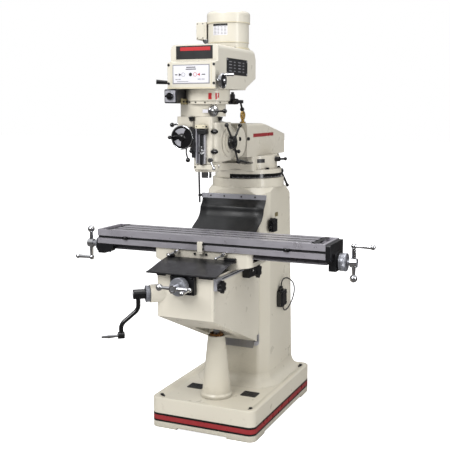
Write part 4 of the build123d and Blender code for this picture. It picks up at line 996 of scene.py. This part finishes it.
on_head(
    "neck_clamps", BLACK_STEEL,
    *[
        form for x, y, out in ((-32, -464, -Y), (72, -372, X), (40, -298, Y), (-70, -320, Y))
        for at in [Vector((x, y, 1604))]
        for form in (
            spin(at + out * 6, Z, [(-6, 9), (4, 9), (7, 13), (12, 13), (13, 11)]),
            spin(at, out, [(-8, 8), (9, 7), (11, 5)]),
        )
    ],
    bevel=0.6,
)
on_head(
    "drum_decals", RED_PRINT,
    curved_plate(SPINDLE, 117, 30, 38, 1701, 1731, 0.5),
    curved_plate(SPINDLE, 117, 47, 52, 1701, 1731, 0.5),
    curved_plate(SPINDLE, 117, 54, 57, 1709, 1731, 0.5),
)
flange_angles = (-60, -20, -2, 22, 62, 100, 150, 200, 250)
on_head(
    "drum_flange_screws", BLACK_STEEL,
    *[cap_screw(at, out, 3.6, 2.4) for at, out in (on_cylinder(112, a, 1686) for a in flange_angles)],
)
on_head("drum_seams", BLACK_MATT, band(circle(SPINDLE, 112.6, 72), circle(SPINDLE, 109, 72), 1693, 1695))
on_head(
    "drum_side_latch", BLACK_MATT,
    block((110, -326, 1699), (128, -302, 1728)),
    block((113, -322, 1726), (125, -306, 1738)),
    bevel=3,
)
on_head(
    "range_bracket", BLACK_STEEL,
    block((92, -336, 1678), (116, -264, 1702)),
    spin((118, -300, 1692), X, [(0, 15), (22, 14), (26, 10)]),
    bevel=4,
)

# Switch box
SWITCH = node_box("switch_box")[0].y
on_head("switch_plate", SILVER_PLATE, prism(rounded(27, 27, 3), (-97, SWITCH + 0.4, 1715), X, Z, 1.6))
on_head(
    "switch_marks", BLACK_PRINT,
    *[
        prism(
            [(-1.2, 0), (1.2, 0), (1.2, 5), (-1.2, 5)],
            Vector((-97 + 20 * sin(a), SWITCH - 1.0, 1715 + 20 * cos(a))), Vector((cos(a), 0, -sin(a))),
            Vector((sin(a), 0, cos(a))), 0.8,
        )
        for a in (-1.05, 0, 1.05)
    ],
)
on_head("switch_bracket", OLIVE, block((-62, -524, 1676), (-54, -462, 1704)), bevel=2)
on_head("switch_bracket_screws", BLACK_STEEL, *[cap_screw((-54, y, 1690), X, 5) for y in (-508, -478)])

# Belt housing
house_low, house_high = node_box("belt_housing")
front_face, step_face = house_low.y, -496
for name, material, low, high, soft in (
    ("sign_plate", BLACK_PRINT, (-97, step_face - 1.6, 1890), (96, step_face + 1, 1952), 0.6),
    ("sign_bar", RED_PRINT, (-74, step_face - 2.4, 1929), (84, step_face, 1946), 0.4),
    ("chart_border", GREY_PRINT, (-98, front_face - 1.2, 1773), (97, front_face + 1, 1863), 0.6),
    ("chart_plate", WHITE_PLATE, (-93, front_face - 1.8, 1777.5), (92, front_face, 1858.5), 0.4),
):
    on_head(name, material, block(low, high), bevel=soft)
chart_face = front_face - 2.4


def disc(x, z, radius):
    return prism(circle((0, 0), radius, 16), (x, chart_face + 1, z), X, Z, 1.0)


def bar(x, z, width, height):
    return block((x - width / 2, chart_face, z - height / 2), (x + width / 2, chart_face + 1, z + height / 2))


def circle_line(x, z, radius):
    corners = ((radius, 0), (radius, 1), (radius - 1.6, 1), (radius - 1.6, 0))
    return loops(
        [[(a, chart_face + rise, b) for a, b in circle((x, z), reach, 24)] for reach, rise in corners]
    )


def arrow(x, z, size):
    half = abs(size)
    outline = [(-size, -half), (-size, half), (size, 0)]
    return prism(outline, (x, chart_face + 1, z), X, Z, 1.0)


on_head(
    "chart_print_black", BLACK_PRINT,
    disc(-2, 1816, 8.5),
    arrow(-57, 1816, 7),
    bar(0, 1850, 48, 4),
    bar(0, 1841, 54, 4),
    bar(-78, 1816, 13, 4),
    bar(66, 1816, 18, 4),
)
on_head(
    "chart_print_grey", GREY_PRINT,
    circle_line(-40, 1816, 9.5),
    *[bar(x, 1794, w, 3.6) for x, w in ((-76, 12), (-60, 12), (44, 16), (64, 16))],
    bar(-44, 1784, 60, 2.4),
)
on_head("chart_print_red", RED_PRINT, circle_line(22, 1816, 9.5), arrow(40, 1816, -7))
on_head(
    "panel_screws", BLACK_STEEL,
    *[cap_screw((x, front_face, z), -Y, 6, 4) for x in (-119, 119) for z in (1775, 1862)],
)
on_head(
    "panel_seams", CREAM,
    block((-108, front_face - 0.9, 1754), (-105, front_face + 1, 1874)),
    block((104, front_face - 0.9, 1754), (107, front_face + 1, 1874)),
    block((-126.5, front_face - 1.4, 1750), (126.5, front_face + 2, 1757)),
    bevel=0.4,
)
on_head(
    "speed_plate", BLACK_PRINT,
    prism(rounded(129, 39.5, 6), (house_high.x - 0.5, -274, 1859.5), Y, Z, 1.8),
)
speed_face = house_high.x + 1.2
on_head(
    "speed_plate_marks", GREY_PRINT,
    *[
        block((speed_face, y - w / 2, z - 2), (speed_face + 0.5, y + w / 2, z + 2))
        for z in (1838, 1853, 1868, 1882) for y, w in ((-358, 34), (-308, 20), (-248, 34), (-198, 20))
    ],
)
on_head(
    "speed_plate_screws", SILVER_PLATE,
    *[round_screw((speed_face, y, z), X, 4) for y in (-394, -154) for z in (1828, 1891)],
)
SPEED = Vector((house_high.x, -506, 1786))
piece(
    "speed_wheel_face", "speed_control", BLACK_STEEL,
    spin(SPEED + X * 29.6, X, [(0, 29), (2, 28), (3, 12), (3, 4)]),
)
piece(
    "speed_wheel_rim", "speed_control", CHROME,
    spin(SPEED + X * 17, X, [(0, 34), (2, 37), (12, 37.5), (15, 35), (15.5, 30), (13, 29)], 48),
    spin(SPEED + X * 31, X, [(0, 10), (8, 9), (11, 5)]),
    tube([SPEED + Vector((28, 0, 27)), SPEED + Vector((78, 0, 27))], 6.4, 7.4),
)

# Motor
MOTOR = (0, -95)
on_head("motor_plate", WHITE_PLATE, curved_plate(MOTOR, 105.5, -23, 21, 2026, 2072, 0.6, 16))
on_head("motor_plate_head", BLACK_PRINT, curved_plate(MOTOR, 105.5, -23, 21, 2072, 2083, 0.7, 16))
on_head(
    "motor_plate_print", GREY_PRINT,
    *[
        curved_plate(MOTOR, 106, start, start + width, z, z + 2.6, 0.3, 4)
        for z in (2031, 2038, 2045, 2052, 2059, 2066)
        for start, width in ((-20, 9), (-8, 6), (2, 6), (11, 7))
    ],
)
on_head(
    "motor_seams", CREAM,
    *[
        band(circle(MOTOR, outer, 96), circle(MOTOR, inner, 96), low, high)
        for outer, inner, low, high in (
            (106.4, 102, 1990, 1994), (111.5, 104, 2089, 2093), (108, 98, 1957, 1966),
        )
    ],
)
on_head(
    "motor_feet_bolts", BLACK_STEEL,
    *[hex_bolt(on_cylinder(118, a, 1957, MOTOR)[0], Z, 7, 8) for a in (40, 140, 220, 320)],
)
junction_low, junction_high = node_box("junction_box")
on_head(
    "junction_lid", IVORY_SHEET,
    block(
        (junction_low.x, junction_low.y - 1.5, junction_low.z + 2),
        (junction_low.x + 46, junction_low.y + 3, junction_high.z - 2),
    ),
    bevel=2,
)
on_head(
    "junction_fittings", BLACK_STEEL,
    spin((-122, -120, 2012), -Z, [(-2, 12), (6, 12, "hex"), (10, 10), (14, 9)]),
    *[round_screw((x, junction_low.y - 1.5, z), -Y, 3) for x in (-152, -122) for z in (2020, 2092)],
)

# ==== Knee ====

KNEE_FRONT = -616
piece(
    "way_wipers", "knee_body", RUBBER,
    block((-151, KNEE_FRONT - 3, 855), (-101, KNEE_FRONT + 8, 864)),
    block((76, KNEE_FRONT - 3, 855), (150, KNEE_FRONT + 8, 864)),
    bevel=1.5,
)
piece(
    "cross_plate_screws", "knee_body", BLACK_GLOSS,
    *[cap_screw((x, -641, z), -Y, 5) for x in (-52, 52) for z in (787, 855)],
)
# A thin black strip along the stop rail's face paints the shade in its slot.
piece("stop_rail_slot_shade", "knee_body", BLACK_PRINT, block((160.4, -540, 844), (161.6, -150, 849)))
piece("travel_stop_block", "knee_body", BLACK_MATT, block((153, -262, 800), (192, -165, 862)), bevel=3)
piece("travel_stop_knob_stem", "knee_body", CHROME, spin((192, -226, 834), X, [(-2, 7), (6, 7), (8, 5)]))
piece(
    "saddle_side_wedge", "saddle_body", BLACK_MATT,
    prism([(0, 18), (14, 0), (44, 0), (44, 57), (0, 57)], (188, -204.5, 868), Y, Z, 38),
    bevel=4,
)
crank_axis = Vector((-0.7828, -0.6222, 0))
CRANK_POINT = Vector((-190, -632, 762))
piece(
    "knee_dial_rim", "knee_crank", DIAL,
    spin(
        CRANK_POINT + crank_axis * 7, crank_axis, [(0, 41.5, (60, 0.02)), (6, 41.5, (60, 0.02)), (7, 40)],
        240,
    ),
)
for name, body, *dial in (
    ("knee_dial_marks", "knee_crank", CRANK_POINT, crank_axis, 40, -5, 100, 8, 4.5),
    ("cross_dial_marks", "cross_screw_body", (0, -655.3, 821), -Y, 43, 3, 100, 10, 6),
    ("table_dial_marks", "table_screw_body", (685.3, -324, 934), X, 43, 3, 100, 10, 6),
):
    piece(name, body, BLACK_PRINT, *graduations(*dial))
KNURL = [(0, 44.2, (64, 0.03)), (11, 44.2, (64, 0.03)), (12, 42)]
piece("dial_knurls", "cross_screw_body", DIAL, spin((0, -676, 821), -Y, KNURL, 256))
piece("table_dial_knurl", "table_screw_body", DIAL, spin((705, -324, 934), X, KNURL, 256))
piece(
    "lift_nut_bolts", "root", BLACK_STEEL,
    *[hex_bolt((30 * cos(a), -250 + 30 * sin(a), 490), Z, 4, 4) for a in (0.4, 1.97, 3.54, 5.11)],
)

# ==== Saddle and table ====

saddle_front = -428
piece(
    "centre_stop", "saddle_body", IVORY,
    block((-12, saddle_front - 27, 942), (16, saddle_front + 1, 956.5)),
    block((-12, saddle_front - 27, 950), (16, saddle_front - 12.5, 1004)),
    bevel=2.5,
)
piece(
    "centre_stop_pin", "saddle_body", BLACK_GLOSS,
    spin((16, saddle_front - 20, 992), X, [(-2, 5), (5, 5), (6, 4)]),
    spin((16, saddle_front - 20, 968), X, [(-2, 5), (5, 5), (6, 4)]),
)
piece(
    "saddle_front_screws", "saddle_body", BLACK_GLOSS,
    *[cap_screw((x, saddle_front, 938), -Y, 6) for x in (-36, 28)],
)
piece(
    "table_stops", "table_body", BLACK_GLOSS,
    *[
        form for x in (-432, 453)
        for form in (
            block((x - 14, -446, 984), (x + 14, -431, 1001)),
            spin((x, -446, 991), -Y, [(-1, 7), (6, 7), (7, 5.5), (7, 3.2, "hex"), (4, 3.2, "hex")], 24),
        )
    ],
    bevel=1.5,
)
piece("stop_groove_shadow", "table_body", BLACK_PRINT, block((-599, -430.4, 986), (642, -429.2, 998)))
# Thin black plates line the walls of the table's T-slots: painted shade in the slots, partly standing for
# oil.
piece(
    "slot_wall_shade_and_oil", "table_body", BLACK_STEEL,
    *[
        form for y in (-387.5, -324, -260.5)
        for form in (
            block((-530, y - 8.1, 1010), (573, y - 7.5, 1031.3)),
            block((-530, y + 7.5, 1010), (573, y + 8.1, 1031.3)),
        )
    ],
)
piece(
    "end_troughs", "table_body", BLACK_STEEL,
    block((-549, -434, 1030.5), (-531, -214, 1031.9)),
    block((576, -434, 1030.5), (597, -214, 1031.9)),
)
piece(
    "left_bracket_feet", "table_body", BLACK_STEEL,
    prism([(-607, 957.2), (-607, 916), (-524, 912), (-508, 948), (-508, 957.2)], (0, -430.5, 0), X, Z, 7),
    bevel=2,
)

# ==== Rubber guards ====


def sheet_form(profile, half_width, thick, wave, columns=40, settle=0.0):
    """A closed sheet that follows a side profile, with a slight wave across it.

    Its sides settle back by a distance where nothing underneath holds them out."""
    path = smooth_path([(0, *p) for p in profile], 7)
    upper, lower = [], []
    for row, point in enumerate(path):
        along = (path[min(row + 1, len(path) - 1)] - path[max(row - 1, 0)]).normalized()
        out = Vector((0, along.z, -along.y))
        share = row / (len(path) - 1)
        for side, line in ((thick / 2, upper), (-thick / 2, lower)):
            for column in range(columns + 1):
                across = -1 + 2 * column / columns
                ripples = cos(5.2 * across + 1.1) + 0.5 * cos(11 * across * share)
                lift = wave * sin(pi * share) * ripples
                slack = max(0.0, (abs(across) - 0.74) / 0.26) ** 1.5 * sin(pi * min(1.0, share * 1.25))
                line.append(
                    Vector((half_width * across, 0, 0)) + point + out * (side + lift - settle * slack)
                )
    count = columns + 1
    offset, rows = len(upper), len(path)
    faces = []
    for row in range(rows - 1):
        for column in range(columns):
            a = row * count + column
            faces.append((a, a + 1, a + count + 1, a + count))
            faces.append((offset + a, offset + a + count, offset + a + count + 1, offset + a + 1))
    for column in range(columns):
        last = (rows - 1) * count + column
        faces.append((column, offset + column, offset + column + 1, column + 1))
        faces.append((last, last + 1, offset + last + 1, offset + last))
    for row in range(rows - 1):
        a = row * count
        b = a + columns
        faces.append((a, a + count, offset + a + count, offset + a))
        faces.append((b, offset + b, offset + b + count, b + count))
    length = sum((q - p).length for p, q in zip(path, path[1:]))
    return (upper + lower, faces), length * MM


REAR_PROFILE = [
    (-25, 1181), (-31, 1171), (-47, 1154), (-65, 1138), (-71, 1108), (-85, 1081), (-116, 1054),
    (-146, 1034), (-166, 1022),
]
rear_form, rear_length = sheet_form(REAR_PROFILE, 186, 3, 1.4, settle=15)
rear = piece("rear_guard_sheet", None, RUBBER, rear_form, sharp=60)
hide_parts("rear_guard")
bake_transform(rear)

FRONT_PROFILE = [(-429, 915), (-446, 914), (-520, 903), (-590, 888), (-656, 875)]
front_form, front_length = sheet_form(FRONT_PROFILE, 187, 3, 1.2)
front = piece("front_apron_sheet", None, RUBBER, front_form, sharp=60)
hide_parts("front_guard")
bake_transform(front)
hem = piece(
    "front_apron_hem", "knee_body", BLACK_MATT,
    block((-187, -659, 871), (187, -650, 880)),
    bevel=2.5,
)
piece(
    "apron_clamps", "saddle_body", BLACK_MATT,
    block((-190, saddle_front - 16, 908), (190, saddle_front - 0.2, 911.8)),
    block((-190, saddle_front - 14, 917.5), (-150, saddle_front - 0.2, 930)),
    block((128, saddle_front - 14, 917.5), (190, saddle_front - 0.2, 930)),
    bevel=1.5,
)

# ==== Floor and light ====

floor_mesh = bpy.data.meshes.new("floor")
floor_mesh.from_pydata([(-40, -40, 0), (40, -40, 0), (40, 40, 0), (-40, 40, 0)], [], [(0, 1, 2, 3)])
floor = bpy.data.objects.new("floor", floor_mesh)
scene.collection.objects.link(floor)
ground = Finish("floor", linear(238, 238, 238), roughness=0.9, specular=0.1)
ground.clouds(2, 3, 0.3, 0.7, 0.3, linear(232, 232, 232))
# The floor's own glow keeps it as pale as the backdrop, and polished metal sees it darker.
rays = add(ground.tree, "LightPath")
glow = ground.spread(rays.outputs["Is Camera Ray"], 0, 1, 0, 0.9)
ground.shader.inputs["Emission Color"].default_value = (1, 1, 1, 1)
ground.link(glow, ground.shader.inputs["Emission Strength"])
shade = add(ground.tree, "BsdfDiffuse", Color=linear(96, 94, 92))
choice = add(ground.tree, "MixShader")
ground.link(rays.outputs["Is Glossy Ray"], choice.inputs["Fac"])
ground.link(ground.shader.outputs["BSDF"], choice.inputs[1])
ground.link(shade.outputs["BSDF"], choice.inputs[2])
ground.link(choice.outputs["Shader"], ground.tree.nodes["Material Output"].inputs["Surface"])
floor_mesh.materials.append(ground.material)

world = bpy.data.worlds.new("studio")
scene.world = world
world.use_nodes = True
sky = world.node_tree
height = add(sky, "SeparateXYZ")
sky.links.new(add(sky, "TexCoord").outputs["Generated"], height.inputs["Vector"])
ramp = add(sky, "ValToRGB")
first_stop, last_stop = ramp.color_ramp.elements
first_stop.position, first_stop.color = 0.0, (0.3, 0.3, 0.31, 1)
last_stop.position, last_stop.color = 1.0, (0.75, 0.75, 0.76, 1)
for at, level in ((0.47, 0.12), (0.56, 0.16), (0.66, 0.42), (0.8, 0.6)):
    ramp.color_ramp.elements.new(at).color = (level, level, level, 1)
lift = add(sky, "MapRange", From_Min=-1, From_Max=1)
sky.links.new(height.outputs["Z"], lift.inputs["Value"])
sky.links.new(lift.outputs["Result"], ramp.inputs["Fac"])
seen = add(sky, "LightPath")
mixer = add(sky, "Mix")
mixer.data_type = "RGBA"
mixer.inputs[7].default_value = (1, 1, 1, 1)
sky.links.new(seen.outputs["Is Camera Ray"], mixer.inputs[0])
sky.links.new(ramp.outputs["Color"], mixer.inputs[6])
sky.links.new(mixer.outputs[2], sky.nodes["Background"].inputs["Color"])
sky.nodes["Background"].inputs["Strength"].default_value = 1.0


def softbox(name, at, towards, width, height_m, power):
    """A large soft area light."""
    light = bpy.data.lights.new(name, "AREA")
    light.shape = "RECTANGLE"
    light.size, light.size_y = width, height_m
    light.energy = power
    lamp = bpy.data.objects.new(name, light)
    lamp.location = at
    lamp.rotation_euler = (Vector(towards) - Vector(at)).to_track_quat("-Z", "Y").to_euler()
    scene.collection.objects.link(lamp)


softbox("key", (-0.9, -4.3, 4.1), (0, 0, 1.0), 2.2, 2.2, 150)
softbox("strip", (3.4, -1.2, 2.0), (0, 0, 1.2), 0.5, 2.8, 34)
softbox("top", (0.2, -0.2, 4.4), (0, 0, 1.0), 2.6, 2.6, 50)
